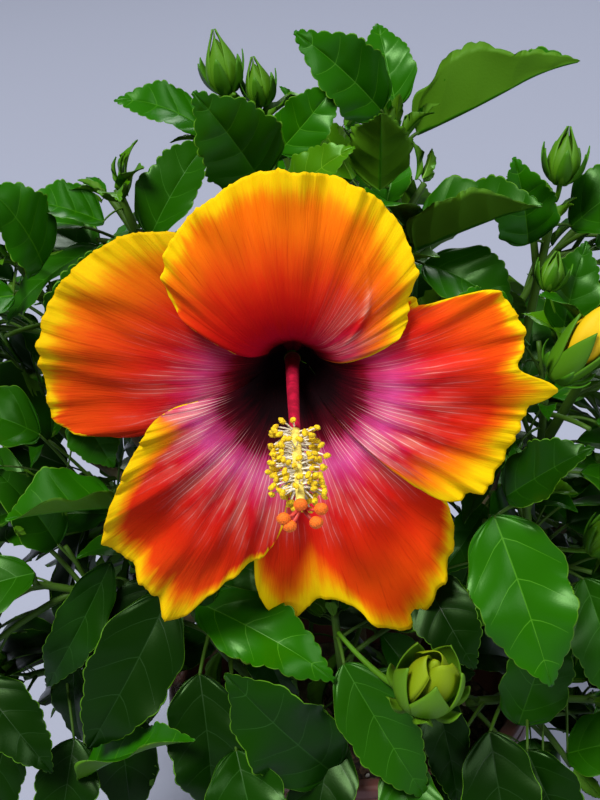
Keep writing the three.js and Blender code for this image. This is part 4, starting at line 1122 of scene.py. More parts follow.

# the front leaves given painted light (a paler green) and painted shade (a darker green), by the
# foot of the blade
LEAF_LIGHT_AND_SHADE = {(46, -82, 250): "bright", (-60, -70, 214): "bright", (-5, -80, 190): "mid",
          (9, -4, 373): "bright", (15, 11, 371): "bright", (22, -34, 331): "mid",
          (-34, -38, 356): "mid", (62, -62, 152): "mid", (80, -66, 142): "mid",
          (-84, -74, 252): "bright", (-116, -64, 218): "mid", (-90, -52, 216): "dark",
          (-98, -54, 132): "bright", (-8, -70, 164): "dark", (-57, -74, 182): "deep",
          (-68, -62, 208): "deep", (-52, -16, 368): "bright", (23, 1, 367): "bright"}
# leaves that the eye sees elsewhere, turned or folded otherwise than the plan, by the foot of
# the plan's blade: foot, tip, width, face, fold, arch
SEEN_LEAVES = {
    (23, 1, 367): ((22, 2, 364), (76, -11, 396), 40, (0.1, 0.3, 0.95), 1.1, -0.02),
    (9, -4, 373): ((9, -4, 373), (-22, -22, 404), 28, (-0.3, -0.75, 0.6), 0.4, 0.06),
    (22, -34, 331): ((20, -34, 331), (61, -50, 352), 44, (0, -0.1, 1), 0.9, 0.01),
    (-84, -74, 252): ((-84, -74, 250), (-119.5, -93, 254), 32, (0, -0.1, 1), 0.9, 0.0),
    (-88, -40, 342): ((-88, -40, 342), (-114, -48, 352), 22, (0, -0.5, 0.9), 0.5, 0.05),
    (-98, -54, 132): ((-104, -66, 131), (-58, -96, 169), 25, (0, -0.3, 0.95), 0.8, 0.05),
    (-44, -66, 212): ((-44, -56, 206), (-14, -60, 203), 16, (0, -0.6, 0.8), 0.2, 0.1),
    (-60, -70, 214): ((-58, -62, 205), (-8, -88, 189), 26, (0.2, -0.75, 0.65), 0.2, 0.08),
    (-8, -70, 164): ((-8, -80, 143), (-46, -98, 196), 34, VIEWER, 0.2, 0.06),
}
chance = np.random.default_rng(20)
blades = {name: [] for name, _, _ in GREENS}
wood = []
for shoot in shoots:
    wood.append(tube(limb_rings(shoot.stem, 10, 16, end=shoot.stem.end)))
    for twig in shoot.axes[1:] + shoot.fine_twigs:
        wood.append(tube(limb_rings(twig, 7, 6, end=twig.end)))
    spray = chance.random()
    for leaf in shoot.leaves:
        seen = (leaf.placed and not leaf.young) or leaf.tip[1] < -60
        grid = FINE if seen else LARGE if leaf.length > 36 else SMALL
        plan_base = tuple(leaf.base)
        if plan_base in SEEN_LEAVES:
            leaf = Leaf(*SEEN_LEAVES[plan_base], leaf.foot)
        points = grid.place(leaf, chance)
        # painted shade and light: a leaf low in the shrub draws a darker green and one whose tip is
        # above 320 mm a paler one, on top of a tone dealt at random per spray and per leaf
        low = smoothstep(leaf.tip[2], 235, 150)
        shade_and_tone_draw = 0.45 * spray + chance.random() + 0.3 * (leaf.tip[2] > 320) - 0.6 * low
        kind = ("deep" if shade_and_tone_draw < 0.16 else "dark" if shade_and_tone_draw < 0.5 else "mid" if shade_and_tone_draw < 1.05
                else "bright")
        if leaf.young or (leaf.length < 36 and leaf.tip[2] > 260 and chance.random() < 0.12):
            kind = "fresh" if chance.random() < 0.5 else "bright"
        # chosen front leaves take a green for painted light or painted shade
        kind = LEAF_LIGHT_AND_SHADE.get(plan_base, kind)
        blades[kind].append((points, grid.quads, grid.slots))
        end = leaf.at(0.015, 0, -0.4)
        stalk = Limb("stalk", leaf.foot, end, leaf.foot + (end - leaf.foot) * 0.55
                     + vec((0, 0, 2)), 1, 1)
        scale = min(1, leaf.length / 55)
        wood.append(tube(limb_rings(
            stalk, 6, 6, lambda t: scale * (0.85 - 0.2 * t + 0.5 * np.exp(-30 * t)))))


def in_lots(parts, limit=80000):
    """The parts in runs of fewer quads than the limit, so that each run is one piece."""
    lots, held = [[]], 0
    for part in parts:
        if held + len(part[1]) > limit:
            lots.append([])
            held = 0
        lots[-1].append(part)
        held += len(part[1])
    return lots


pieces = []
masses = ["foliage_" + shoot.name for shoot in shoots]
for name, blade, vein in GREENS:
    gloss = 0.18 if name in ("deep", "dark") else 0.24
    materials = [leaf_finish("leaf_" + name, blade, 0.31, 0.1, Specular_IOR_Level=gloss,
                             Specular_Tint=GLOSS_TINT),
                 leaf_finish("vein_" + name, vein, 0.4), UNDERSIDE, MARGIN]
    for k, lot in enumerate(in_lots(blades[name])):
        piece = make_piece("leaves_%s_%d" % (name, k + 1), lot, materials)
        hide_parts(*masses)
        pieces.append(piece)
piece = make_piece("twigs", wood, [WOOD])
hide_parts(*masses)
pieces.append(piece)

# ---- bark: limbs with relief replace the plain stems and boughs ----
def bark_relief(points, normal_spread, seed):
    rough = np.array([noise.noise(Vector(p * 0.16) + Vector((seed, 0, 0))) for p in points])
    fine = np.array([noise.noise(Vector(p * 0.55) + Vector((0, seed, 0))) for p in points])
    return normal_spread * (0.5 * rough + 0.35 * fine)


def bark_limb(limb, seed):
    trunk = limb.name.startswith("stem")
    sides, steps = (18, 60) if trunk else (14, 34)
    t = np.linspace(0, 1, steps + 1)
    angle = np.arange(sides) * 2 * math.pi / sides
    base = limb.radius(t)[:, None] * np.ones(sides)
    if trunk:
        # three roots spread at the foot
        base *= 1 + 0.16 * np.exp(-14 * t)[:, None] * np.cos(3 * angle + seed)
    else:
        # a collar where the bough leaves its limb
        base *= 1 + 0.3 * np.exp(-((t - 0.05) / 0.05) ** 2)[:, None]
    knots = 0.09 * np.exp(-((t[:, None] * (9 if trunk else 6) + 0.3) % 1 - 0.5) ** 2 / 0.004)
    base *= 1 + knots * (1 - np.exp(-12 * t[:, None]))
    plain = limb_rings(limb, sides, steps, lambda _: base)
    centre = limb.point(t)[:, None]
    relief = bark_relief(plain.reshape(-1, 3), 0.42 if trunk else 0.3, seed)
    out = plain - centre
    out /= np.linalg.norm(out, axis=-1, keepdims=True)
    rings = plain + out * relief.reshape(steps + 1, sides, 1)
    if trunk:
        rings[0, :, 2] = SOIL_LEVEL + CLEARANCE
    return tube(rings)


bark = Finish("bark", linear(98, 84, 58), 0.85)
lenticels = bark.node("TexVoronoi", {"Vector": bark.spot(), "Scale": 520.0}).outputs["Distance"]
pores = bark.step(lenticels, 0.16, 0.1)
tone = bark.ramp(bark.noise(90, 5), ((0.3, linear(60, 50, 34)), (0.5, linear(104, 90, 62)),
                                     (0.72, linear(128, 122, 92))))
bark.color(bark.mix(bark.math("MULTIPLY", pores, 0.55), tone, linear(168, 156, 126)))
bark.bump(bark.math("ADD", bark.noise(700, 5), pores), 0.5, 0.0006)
parts = [bark_limb(limb, 3.7 * i) for i, limb in enumerate(limbs.values())]
piece = make_piece("bark_limbs", parts, [bark.material])
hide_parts(*limbs)
pieces.append(piece)


# ---- petals ----
# reach of the yellow margin in mm, and strength of the pink ring, by degrees round the throat
YELLOW = {
    "petal_top": ((22, 4), (28, 6), (40, 7), (50, 8), (60, 9), (75, 8), (88, 8), (97, 7),
                  (112, 5), (121, 5), (133, 5), (140, 2), (144, 0.1), (150, 0.1)),
    "petal_left": ((118, 6), (130, 9), (142, 11), (152, 9), (165, 7), (178, 5.5), (186, 3),
                   (192, 1), (196, 0.1), (201, 0.1)),
    "petal_low_left": ((188, 0.1), (192, 0.1), (195, 6), (203, 12), (210, 8), (218, 6),
                       (226, 5), (236, 6), (245, 7), (250, 4), (257, 2), (262, 1), (269, 1)),
    "petal_low_right": ((252, 1), (256, 3), (262, 9), (270, 12), (276, 12), (284, 5),
                        (292, 6), (300, 6), (308, 4), (315, 3), (322, 1), (334, 1)),
    "petal_right": ((-43, 6), (-38, 9), (-30, 12), (-20, 9), (-12, 5), (-7, 5), (-4, 9),
                    (-1, 8), (3, 3), (15, 3), (24, 2), (30, 1.5), (36, 1), (48, 1)),
}
PINK = {
    "petal_top": ((22, 0.4), (50, 0.15), (75, 0.0), (150, 0.0)),
    "petal_left": ((118, 0.0), (150, 0.1), (165, 0.6), (201, 0.8)),
    "petal_low_left": ((188, 1.0), (269, 1.0)),
    "petal_low_right": ((252, 1.0), (334, 1.0)),
    "petal_right": ((-43, 1.0), (0, 0.95), (15, 0.5), (30, 0.1), (48, 0.0)),
}
# how far the dark eye draws back on the upper petals, and where pale veins gather and a pale wash
# stands for a painted sheen
EYE = {
    "petal_top": ((22, 0.08), (60, 0.14), (150, 0.13)),
    "petal_left": ((118, 0.09), (150, 0.07), (175, 0.035), (201, 0.01)),
    "petal_low_left": ((188, 0.0), (269, 0.0)),
    "petal_low_right": ((252, 0.0), (334, 0.0)),
    "petal_right": ((-43, 0.0), (10, 0.0), (30, 0.05), (48, 0.07)),
}
PALE = {
    "petal_top": ((22, 0.8), (45, 0.5), (65, 0.1), (80, 0.0)),
    "petal_left": ((118, 0.0), (160, 0.1), (201, 0.35)),
    "petal_low_left": ((188, 1.0), (203, 0.9), (215, 0.5), (225, 0.55), (255, 0.6), (269, 0.3)),
    "petal_low_right": ((252, 0.4), (280, 0.5), (300, 0.35), (334, 0.3)),
    "petal_right": ((-43, 1.0), (-33, 0.9), (-20, 0.5), (-5, 0.25), (20, 0.1), (48, 0.0)),
}
# how light each petal is: the lower ones face the light
SHADE = {"petal_top": 0.92, "petal_left": 0.84, "petal_low_left": 0.88,
         "petal_low_right": 1.08, "petal_right": 0.97}
# how many widths of the yellow margin the orange inside it reaches
ORANGE = {"petal_top": 3.6, "petal_left": 2.9, "petal_low_left": 2.0, "petal_low_right": 2.3,
          "petal_right": 2.6}
# where a rim stands out beyond the plan's outline, or draws back from it: degrees round the
# throat, reach in mm, half width in degrees
LOBES = {
    "petal_left": ((194, 6, 7),),
    "petal_low_left": ((222, 3, 4), (244, 5, 4)),
    "petal_low_right": ((268, 15, 6), (292, 10, 8)),
    "petal_right": ((-3, 7, 3), (4, -5, 4), (33, -13, 4)),
}
PETAL_COLUMNS = 170
PETAL_ROWS = 54
PETAL_HALF_THICKNESS = 0.28
CREASE = ((20, 40), (26, 43), (36, 49), (53, 66), (60, 70))


def petal_part(name, claw, layer, plan, seed):
    # one outline of the plan turns back at its end, and only its forward run is drawn
    outline = [p for i, p in enumerate(plan) if p[0] == max(q[0] for q in plan[:i + 1])]
    sweep = np.linspace(0, 1, PETAL_COLUMNS)
    reach = np.linspace(0, 1, PETAL_ROWS) ** 0.9
    degrees = outline[0][0] + (outline[-1][0] - outline[0][0]) * sweep
    # a rounder rim: the outline's corners, eased over their neighbours
    width = np.linspace(-1.8, 1.8, 7)
    weight = np.exp(-(width / 1.2) ** 2)
    held = np.clip(degrees[:, None] + width, outline[0][0], outline[-1][0])
    outer = (outline_radius(outline, held) * weight).sum(axis=1) / weight.sum()
    for middle, reach_out, half in LOBES.get(name, ()):
        outer = outer + reach_out * np.exp(-((degrees - middle) / half) ** 2)
    frill = np.array([noise.noise(Vector((d * 0.34, seed, 0))) for d in degrees])
    crinkle = np.array([noise.noise(Vector((d * 1.1, seed, 5))) for d in degrees])
    inside = np.sin(math.pi * np.clip(sweep, 0.001, 0.999)) ** 0.35
    outer = outer + (1.5 * frill + 0.6 * crinkle) * inside
    off_claw = np.abs((degrees - claw + 540) % 360 - 180)
    beyond = smoothstep(off_claw, PETAL_CLAW_HALF + 4, PETAL_CLAW_HALF + 14)
    inner = np.minimum(2.9 + beyond * 6.5, 0.8 * outer)
    radius = inner + (outer - inner) * reach[:, None]
    angle = np.radians(degrees)
    height = corolla_height(layer, degrees[None, :], np.maximum(radius, PETAL_CLAW_RADIUS))
    edge = outer[None, :] - radius
    side = (sweep * (1 - sweep) * 4)[None, :]
    # pleats that run out from the throat, and ruffles that grow towards the margin
    pleat = np.zeros_like(radius)
    ruffle = np.zeros_like(radius)
    for k, d in enumerate(degrees):
        pleat[:, k] = noise.noise(Vector((d * 0.2, seed, 11)))
        for r in range(PETAL_ROWS):
            q = radius[r, k]
            ruffle[r, k] = noise.noise(Vector((d * 0.13, q * 0.035, seed + 20)))
    fine = np.array([noise.noise(Vector((d * 1.7, seed, 31))) for d in degrees])[None, :]
    grow = smoothstep(radius, 20, 75)
    rim = np.exp(-edge / 7)
    height = (height + 0.45 * pleat * smoothstep(radius, 14, 55) * (0.5 + 0.8 * grow)
              + 4.2 * ruffle * grow + (0.7 * fine + 3.0 * frill[None, :]) * rim
              - 1.2 * rim * (1 - side) ** 2)
    # a raised crease that runs up the top petal; its ridge is painted paler, a painted highlight
    line = np.interp(radius, *zip(*CREASE))
    crease_and_highlight = (np.exp(-((degrees[None, :] - line) / 1.6) ** 2) * smoothstep(radius, 20, 30)
              * (1 - smoothstep(radius, 48, 58)) * (name == "petal_top"))
    height = height + 1.1 * crease_and_highlight
    points = np.stack([THROAT[0] + radius * np.cos(angle), THROAT[1] - height,
                       THROAT[2] + radius * np.sin(angle)], axis=-1)
    back = points + vec((0, 2 * PETAL_HALF_THICKNESS, 0))
    polar = np.stack([np.broadcast_to(angle, radius.shape), radius / 100, edge / 100], -1)

    def by_degrees(table):
        return np.broadcast_to(np.interp(degrees, *zip(*table[name])), radius.shape)

    hue = np.stack([by_degrees(YELLOW) / 100, by_degrees(PINK), by_degrees(EYE)], -1)
    # the crease's paleness is a painted highlight along its ridge
    tone = np.stack([by_degrees(PALE) + 2 * crease_and_highlight, 0 * radius + ORANGE[name] / 10,
                     0 * radius + SHADE[name] ** 2.2 / 2], -1)
    both = [np.concatenate([a.reshape(-1, 3)] * 2) for a in (polar, hue, tone)]
    return sheet(points, back), both


def petal_finish():
    finish = Finish("petal", linear(194, 42, 18), 0.75, Specular_IOR_Level=0.06,
                    Subsurface_Weight=0.08, Subsurface_Scale=0.003)

    def channels(name):
        held = finish.node("Attribute", attribute_name=name).outputs["Vector"]
        return finish.node("SeparateXYZ", {"Vector": held}).outputs

    angle, radius, edge = channels("polar")
    yellow, pink, shift = channels("hue")
    pale, orange, shade = channels("tone")

    def streaks(around, outward, detail=3.0):
        where = finish.node("CombineXYZ", {
            "X": finish.math("MULTIPLY", angle, around),
            "Y": finish.math("MULTIPLY", radius, outward)})
        return finish.math("SUBTRACT", finish.noise(1.0, detail, where.outputs[0]), 0.5)

    def total(*terms):
        value = terms[0]
        for term in terms[1:]:
            value = finish.math("ADD", value, term)
        return value

    def times(value, *factors):
        for factor in factors:
            value = finish.math("MULTIPLY", value, factor)
        return value

    broad, rays, hairs = streaks(7, 3), streaks(34, 3.5, 4), streaks(120, 7.0, 3)
    at = total(radius, times(broad, 0.07), times(rays, 0.08), times(hairs, 0.05), shift)
    eye = ((0.0, linear(8, 0, 2)), (0.12, linear(12, 0, 2)), (0.165, linear(58, 0, 8)),
           (0.21, linear(104, 2, 18)))
    pinkish = finish.ramp(at, (
        (0.0, linear(8, 0, 2)), (0.15, linear(16, 0, 3)), (0.21, linear(58, 0, 11)),
        (0.245, linear(98, 4, 26)), (0.272, linear(168, 42, 92)), (0.33, linear(204, 68, 132)),
        (0.385, linear(200, 40, 90)), (0.45, linear(200, 20, 34)), (0.55, linear(206, 28, 12)),
        (0.68, linear(214, 42, 6)), (0.85, linear(224, 68, 4))))
    plain = finish.ramp(at, eye + (
        (0.235, linear(150, 1, 20)), (0.28, linear(186, 3, 34)), (0.36, linear(192, 5, 12)),
        (0.44, linear(194, 20, 6)), (0.51, linear(212, 42, 6)), (0.59, linear(224, 72, 6)),
        (0.68, linear(232, 98, 4))))
    body = finish.mix(pink, plain, pinkish)
    # fine pale veins, closest together where the petal pales
    wave = finish.math("SINE", total(times(angle, 84.0), times(streaks(6, 3, 2), 7.0)))
    vein = finish.step(finish.math("ABSOLUTE", wave), 0.42, 0.0)
    ring = times(finish.step(at, 0.25, 0.33), finish.step(at, 0.66, 0.42))
    patch = finish.step(streaks(9, 5, 3), -0.12, 0.16)
    inner_ring = times(finish.step(at, 0.2, 0.265), finish.step(at, 0.38, 0.3), pink)
    veined = times(vein, patch, total(times(ring, total(times(pale, 0.6), times(pink, 0.25))),
                                      times(inner_ring, pale, 0.75)))
    body = finish.mix(veined, body, linear(252, 212, 206))
    # a pale pinkish wash in patches over the ring: a painted sheen
    body = finish.mix(times(ring, pale, patch, 0.42), body, linear(244, 176, 150))
    # from red through orange to the yellow margin
    ragged = total(edge, times(rays, 0.07), times(hairs, 0.03), times(broad, 0.12))
    reach = finish.math("DIVIDE", ragged, yellow)
    glow = finish.step(reach, times(orange, 10.0), 1.1)
    body = finish.mix(times(glow, 0.9), body, linear(236, 112, 2))
    # darker veins, broken, where the petal is red and orange
    broken = finish.step(streaks(16, 7, 3), -0.04, 0.14)
    lines = times(total(times(finish.step(hairs, 0.0, 0.2), 0.16), times(vein, broken, 0.3)),
                  finish.step(at, 0.36, 0.5))
    body = finish.mix(lines, body, linear(158, 14, 0))
    margin = finish.mix(finish.step(reach, 1.3, 0.2), linear(232, 150, 2), linear(240, 196, 2))
    margin = finish.mix(times(lines, 0.35), margin, linear(214, 120, 0))
    body = finish.mix(finish.step(reach, 1.7, 0.5), body, margin)
    body = finish.mix(1.0, body, times(shade, 2.0), "MULTIPLY")
    finish.color(body)
    finish.bump(total(rays, times(hairs, 0.6), times(vein, -0.07)), 0.3, 0.0012)
    return finish.material


PETAL_FINISH = petal_finish()
for i, (name, claw, layer, plan) in enumerate(PETALS):
    part, (polar, hue, tone) = petal_part(name, claw, layer, plan, 13.0 * (i + 1))
    piece = make_piece(name + "_veined", [part], [PETAL_FINISH],
                       {"polar": polar, "hue": hue, "tone": tone})
    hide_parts(name)
    pieces.append(piece)


# ---- the staminal column ----
class Spindle:
    """A foot and an axis, with points set round it by rise, angle and reach."""

    def __init__(self, foot, axis):
        self.foot = foot
        self.size = np.linalg.norm(axis)
        self.along = axis / self.size
        helper = WORLD_X if abs(self.along[0]) < 0.8 else WORLD_UP
        self.side = unit(np.cross(self.along, helper))
        self.over = np.cross(self.along, self.side)

    def around(self, rise, angle, reach):
        return (self.foot + self.along * rise[..., None]
                + self.side * (np.cos(angle) * reach)[..., None]
                + self.over * (np.sin(angle) * reach)[..., None])


def ball(centre, size, seed, axis, rings, sides, bumps):
    """A rough ball: size is its three half widths, along axis, across and over."""
    spindle = Spindle(vec(centre), vec(axis))
    polar = np.linspace(0.12, math.pi - 0.12, rings)[:, None]
    turn = (np.arange(sides) * 2 * math.pi / sides)[None, :]
    x, y, z = (np.cos(polar) + 0 * turn, np.sin(polar) * np.cos(turn),
               np.sin(polar) * np.sin(turn))
    bump = np.array([noise.noise(Vector((a * 3.1 + seed, b * 3.1, c * 3.1))) for a, b, c in
                     zip(x.ravel(), y.ravel(), z.ravel())]).reshape(x.shape)
    x, y, z = (part * (1 + bumps * 2 * bump) for part in (x, y, z))
    return (spindle.foot + spindle.along * (x * size[0])[..., None]
            + spindle.side * (y * size[1])[..., None]
            + spindle.over * (z * size[2])[..., None])


def curved_tube(root, tip, control, radii, sides=6, steps=5, slot=0):
    limb = Limb("rod", root, tip, control, *radii)
    return tube(limb_rings(limb, sides, steps), slot)


ANTHERS = 230
column_parts = []
rings = limb_rings(COLUMN, 20, 70, lambda t: 2.3 - 1.0 * t + 0.5 * np.exp(-14 * t))
points, quads, slots = tube(rings)
t_of = np.repeat(np.linspace(0, 1, 71), 20)
row_t = np.append(t_of, (0, 1))[quads].mean(axis=1)
column_parts.append((points, quads, np.where(row_t < 0.6, 0, 1)))
for i in range(ANTHERS):
    share = (i + 0.5) / ANTHERS
    t = 0.585 + 0.335 * share ** 0.9
    angle = i * GOLDEN_ANGLE
    reach = (4.4 + 5.0 * chance.random()) * (1 - 0.12 * share)
    root = COLUMN.around(t, angle, 0.7)
    tip = COLUMN.around(min(t + 0.02 + 0.02 * chance.random(), 1.0), angle, reach)
    tip = tip + (chance.random(3) - 0.5) * 1.6
    # sparse on the side that the eye looks into, where the filaments show
    if (tip - root).dot(unit(CAMERA_MM - tip)) > 0.62 * reach and i % 4:
        continue
    knee = (root + tip) / 2 - COLUMN.tangent(t) * 1.0
    column_parts.append(curved_tube(root, tip, knee, (0.34, 0.24), 5, 4, 2))
    lie = chance.random(3) - 0.5
    column_parts.append(tube(ball(tip, (1.3, 0.88, 0.88), i, lie, 6, 9, 0.16), 3))
end = COLUMN.point(1.0)
forward = COLUMN.tangent(1.0)
for k, (dx, dz) in enumerate(((1.2, 3.0), (7.2, 1.6), (-3.8, -1.6), (5.8, -2.8), (-2.0, -4.0))):
    pad = end + forward * 2.5 + vec((dx - 1.6, -1.0, dz + 0.3))
    knee = end + forward * 2.2 + (pad - end) * 0.2
    column_parts.append(curved_tube(end - forward * 2, pad, knee, (0.7, 0.5), 7, 6, 5))
    column_parts.append(tube(ball(pad, (1.7, 2.1, 2.1), 90 + k, forward, 18, 26, 0.04), 4))


def grainy(name, color, roughness, scale, strength, **sockets):
    finish = Finish(name, color, roughness, **sockets)
    speck = finish.noise(scale, 4)
    darker = tuple(c * 0.62 for c in color[:3]) + (1,)
    finish.color(finish.mix(finish.step(speck, 0.42, 0.62), darker, color))
    return finish.bump(speck, strength, 0.0006).material


COLUMN_FINISHES = [
    grainy("column_red", linear(176, 16, 52), 0.45, 500, 0.2),
    grainy("column_pale", linear(252, 228, 104), 0.5, 500, 0.2),
    grainy("filament", linear(255, 248, 226), 0.5, 900, 0.1),
    grainy("anther", linear(252, 212, 6), 0.85, 1800, 0.8),
    grainy("stigma", linear(255, 116, 0), 0.8, 2600, 0.4),
    grainy("style", linear(214, 60, 40), 0.5, 900, 0.1),
]
piece = make_piece("column_with_stamens", column_parts, COLUMN_FINISHES)
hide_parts("staminal_column")
pieces.append(piece)


# ---- calyx, bracts and buds ----
def bract(root, tip, bend, width, normal, thick=0.5, steps=8, slot=0, shape=0.8):
    """A narrow leafy strip, keeled, from root to tip; bend is where its middle leans."""
    limb = Limb("bract", root, tip, (vec(root) + vec(tip)) / 2 + vec(bend), 1, 1)
    t = np.linspace(0.02, 0.99, steps + 1)
    along = limb.tangent(t)
    normal = vec(normal)[None] - along * (along @ vec(normal))[:, None]
    normal /= np.linalg.norm(normal, axis=1, keepdims=True)
    side = np.cross(along, normal)
    half = (width / 2 * np.sin(math.pi * np.clip(t, 0.0, 1) ** shape) ** 0.7 + 0.12)[:, None]
    mid = limb.point(t)
    ring = np.stack([mid + side * half + normal * 0.25 * half, mid + side * half * 0.5,
                     mid - normal * thick, mid - side * half * 0.5,
                     mid - side * half + normal * 0.25 * half, mid + normal * 0.1], axis=1)
    return tube(ring, slot)


def lobed_cup(foot, tip, radius, lobes, length, steps, sides):
    """A calyx: a cup round the axis that parts into pointed lobes, thin at the rim."""
    spindle = Spindle(foot, tip - foot)
    turn = np.arange(sides) * 2 * math.pi / sides
    lobe = 1 - np.abs((lobes * turn / math.pi) % 2 - 1)
    lobe = 0.35 * lobe + 0.65 * np.sin(lobe * math.pi / 2)
    t = np.linspace(0, 1, steps + 1)[:, None]
    rise = t * spindle.size * length * (0.5 + 0.5 * lobe)[None, :]
    u = rise / spindle.size
    belly = radius * np.sin(math.pi * np.clip(u * 0.8 + 0.06, 0, 1) ** 0.8) ** 0.7
    outside = spindle.around(rise, turn, belly)
    inside = spindle.around(rise + 0.3, turn, belly * (1 - 0.4 / radius))
    return tube(np.concatenate([outside, inside[::-1]]))


def sepals(foot, tip, radius, count, slot, length=0.9, flare=0.0, turn=0.0, fused=0.3,
           closing=0.72, steps=14, across=8, point=0.8):
    """Pointed calyx lobes round the body of a bud, joined at their foot."""
    spindle = Spindle(foot, tip - foot)
    made = []
    u = np.linspace(0.0, 1, steps + 1)[:, None]
    v = np.linspace(-1, 1, across + 1)[None, :]
    narrow = np.maximum((u - fused) / (1 - fused), 0)
    half = math.pi / count * (1.12 * (1 - narrow ** 1.3) + 0.02)
    rise = u * spindle.size * length
    # a body that swells from the stalk and closes towards the tip, or opens with flare
    belly = radius * np.sin(math.pi * np.clip(0.07 + closing * u * length, 0, 1) ** 0.72) ** point
    belly = belly + flare * radius * np.maximum(u - 0.35, 0) ** 1.6
    for k in range(count):
        middle = 2 * math.pi * k / count + turn
        angle = middle + v * half
        lift = 0.5 * (1 - v ** 2) * narrow + 0.25 * (k % 2)
        outer = spindle.around(rise + 0 * v, angle, belly + lift)
        inner = spindle.around(rise + 0 * v, angle, np.maximum(belly + lift - 0.45, 0.1))
        made.append(sheet(outer, inner, slot))
    return made


def furled_bud(foot, tip, radius, slot, turns=2.0, steps=26, sides=40, blunt=0.8):
    """Petals rolled round each other: a pointed body with spiral folds."""
    spindle = Spindle(foot, tip - foot)
    turn = (np.arange(sides) * 2 * math.pi / sides)[None, :]
    t = np.linspace(0.015, 0.985, steps + 1)[:, None]
    belly = radius * np.sin(math.pi * t ** blunt) ** 0.75
    fold = np.abs(np.sin(2.5 * (turn + turns * t * 1.6)))
    belly = belly * (0.84 + 0.16 * fold ** 0.6)
    return tube(spindle.around(t * spindle.size + 0 * turn, turn, belly), slot)


def petal_wrap(foot, tip, radius, count, slot, steps=16, across=16):
    """Half-open petals laid round each other, each with one free edge that stands out."""
    spindle = Spindle(foot, tip - foot)
    made = []
    u = np.linspace(0.0, 1, steps + 1)[:, None]
    v = np.linspace(0, 1, across + 1)[None, :]
    for k in range(count):
        angle = 2 * math.pi * k / count + 0.5 * k + v * 2.3 + 0.5 * u
        belly = radius * np.sin(math.pi * np.clip(0.1 + 0.76 * u, 0, 1)) ** 0.75
        reach = belly * (0.66 + 0.3 * v ** 1.5) + 0.8 * v ** 6 * u
        reach = reach * (1 - 0.35 * u ** 6 * (1 - v))
        rise = spindle.size * u * (0.86 + 0.14 * np.sin(math.pi * v) + 0.03 * math.sin(2.4 * k))
        front, back = (spindle.around(rise, angle, np.maximum(reach - inward, 0.1))
                       for inward in (0.0, 0.4))
        made.append(sheet(front, back, slot))
    return made


BUD_GREEN = leaf_finish("bud_green", linear(70, 118, 12), 0.5, 0.3)
BUD_PALE = leaf_finish("bud_pale", linear(122, 146, 8), 0.6, 0.3)
BUD_YELLOW = leaf_finish("bud_yellow", linear(214, 176, 14), 0.6, 0.3)
BRACT_GREEN = leaf_finish("bract_green", linear(58, 112, 8), 0.5, 0.3)
SEPAL_GREEN = leaf_finish("sepal_green", linear(82, 126, 16), 0.55, 0.3)


def epicalyx(foot, axis, radius, count, length, slot, spread, width=0.42):
    spindle = Spindle(foot, axis)
    made = []
    for k in range(count):
        a = 2 * math.pi * (k + 0.3 + 0.16 * math.sin(5 * k)) / count
        out = spindle.side * math.cos(a) + spindle.over * math.sin(a)
        root = foot + out * radius * 0.3
        rise = spindle.along * length
        end = foot + out * radius * spread + rise * (1 + 0.12 * math.sin(3 * k))
        made.append(bract(root, end, out * radius * 0.45 - rise * 0.12,
                          radius * width, out, 0.3, 8, slot))
    return made


# buds whose place or size the eye knows better than the plan: foot, tip, radius, by plan foot
SEEN_BUDS = {
    (-50, -10, 386): ((-46, -10, 380), (-50.5, -10, 403), 5.8),
    (-40, -10, 384): ((-33.4, -10, 376), (-37, -10, 393.5), 4.8),
    (80, -58, 292): ((68, -58, 291), (89, -62, 321), 8.2),
    (66, -44, 304): ((66, -44, 318), (69, -42, 332), 4.4),
    (11, -88, 192): ((22, -100, 187), (25.5, -110, 210), 11.0),
}
bud_parts = []
for shoot in shoots:
    for foot, base, tip, radius in shoot.buds:
        base, tip, radius = SEEN_BUDS.get(tuple(base), (base, tip, radius))
        base, tip = vec(base), vec(tip)
        axis = tip - base
        half_open = radius > 10
        showing = radius > 6 and not half_open
        knee = (foot + base) / 2 - vec((0, 0, 2))
        if half_open:
            knee = vec((8, -88, 186))
        bud_parts.append(curved_tube(foot, base + axis * 0.06, knee,
                                     (0.8, 1.5 if half_open else 1.0), 10, 12, 0))
        if half_open:
            bud_parts.append(furled_bud(base + axis * 0.05, base + axis * 0.97,
                                        radius * 0.6, 1, 1.1, blunt=0.7))
            bud_parts += petal_wrap(base + axis * 0.04, tip, radius * 0.98, 4, 1)
            bud_parts += sepals(base, tip, radius * 1.08, 5, 4, 0.9, 0.3, -1.9, 0.36,
                                0.74)
            bud_parts += epicalyx(base, axis, radius, 7, 9.5, 4, 1.35, 0.62)
        elif showing:
            bud_parts.append(furled_bud(base + axis * 0.1, tip, radius * 0.86, 2, 1.4, blunt=0.9))
            bud_parts += sepals(base, tip, radius * 0.95, 5, 0, 0.66, 0.25, 0.3, 0.3)
            bud_parts += epicalyx(base, axis, radius, 7, 9, 3, 1.3, 0.4)
        else:
            bud_parts.append(furled_bud(base + axis * 0.04, base + axis * 0.86, radius * 0.74, 0,
                                        0.2, blunt=0.62))
            bud_parts += sepals(base, tip, radius, 5, 0, 1.0, 0.0, 0.4, 0.5, 0.91, point=1.15)
            bud_parts += epicalyx(base, axis, radius, 7, radius * 2.4, 3, 1.45, 0.85)
piece = make_piece("buds", bud_parts,
                   [BUD_GREEN, BUD_PALE, BUD_YELLOW, BRACT_GREEN, SEPAL_GREEN])
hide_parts(*masses)
pieces.append(piece)

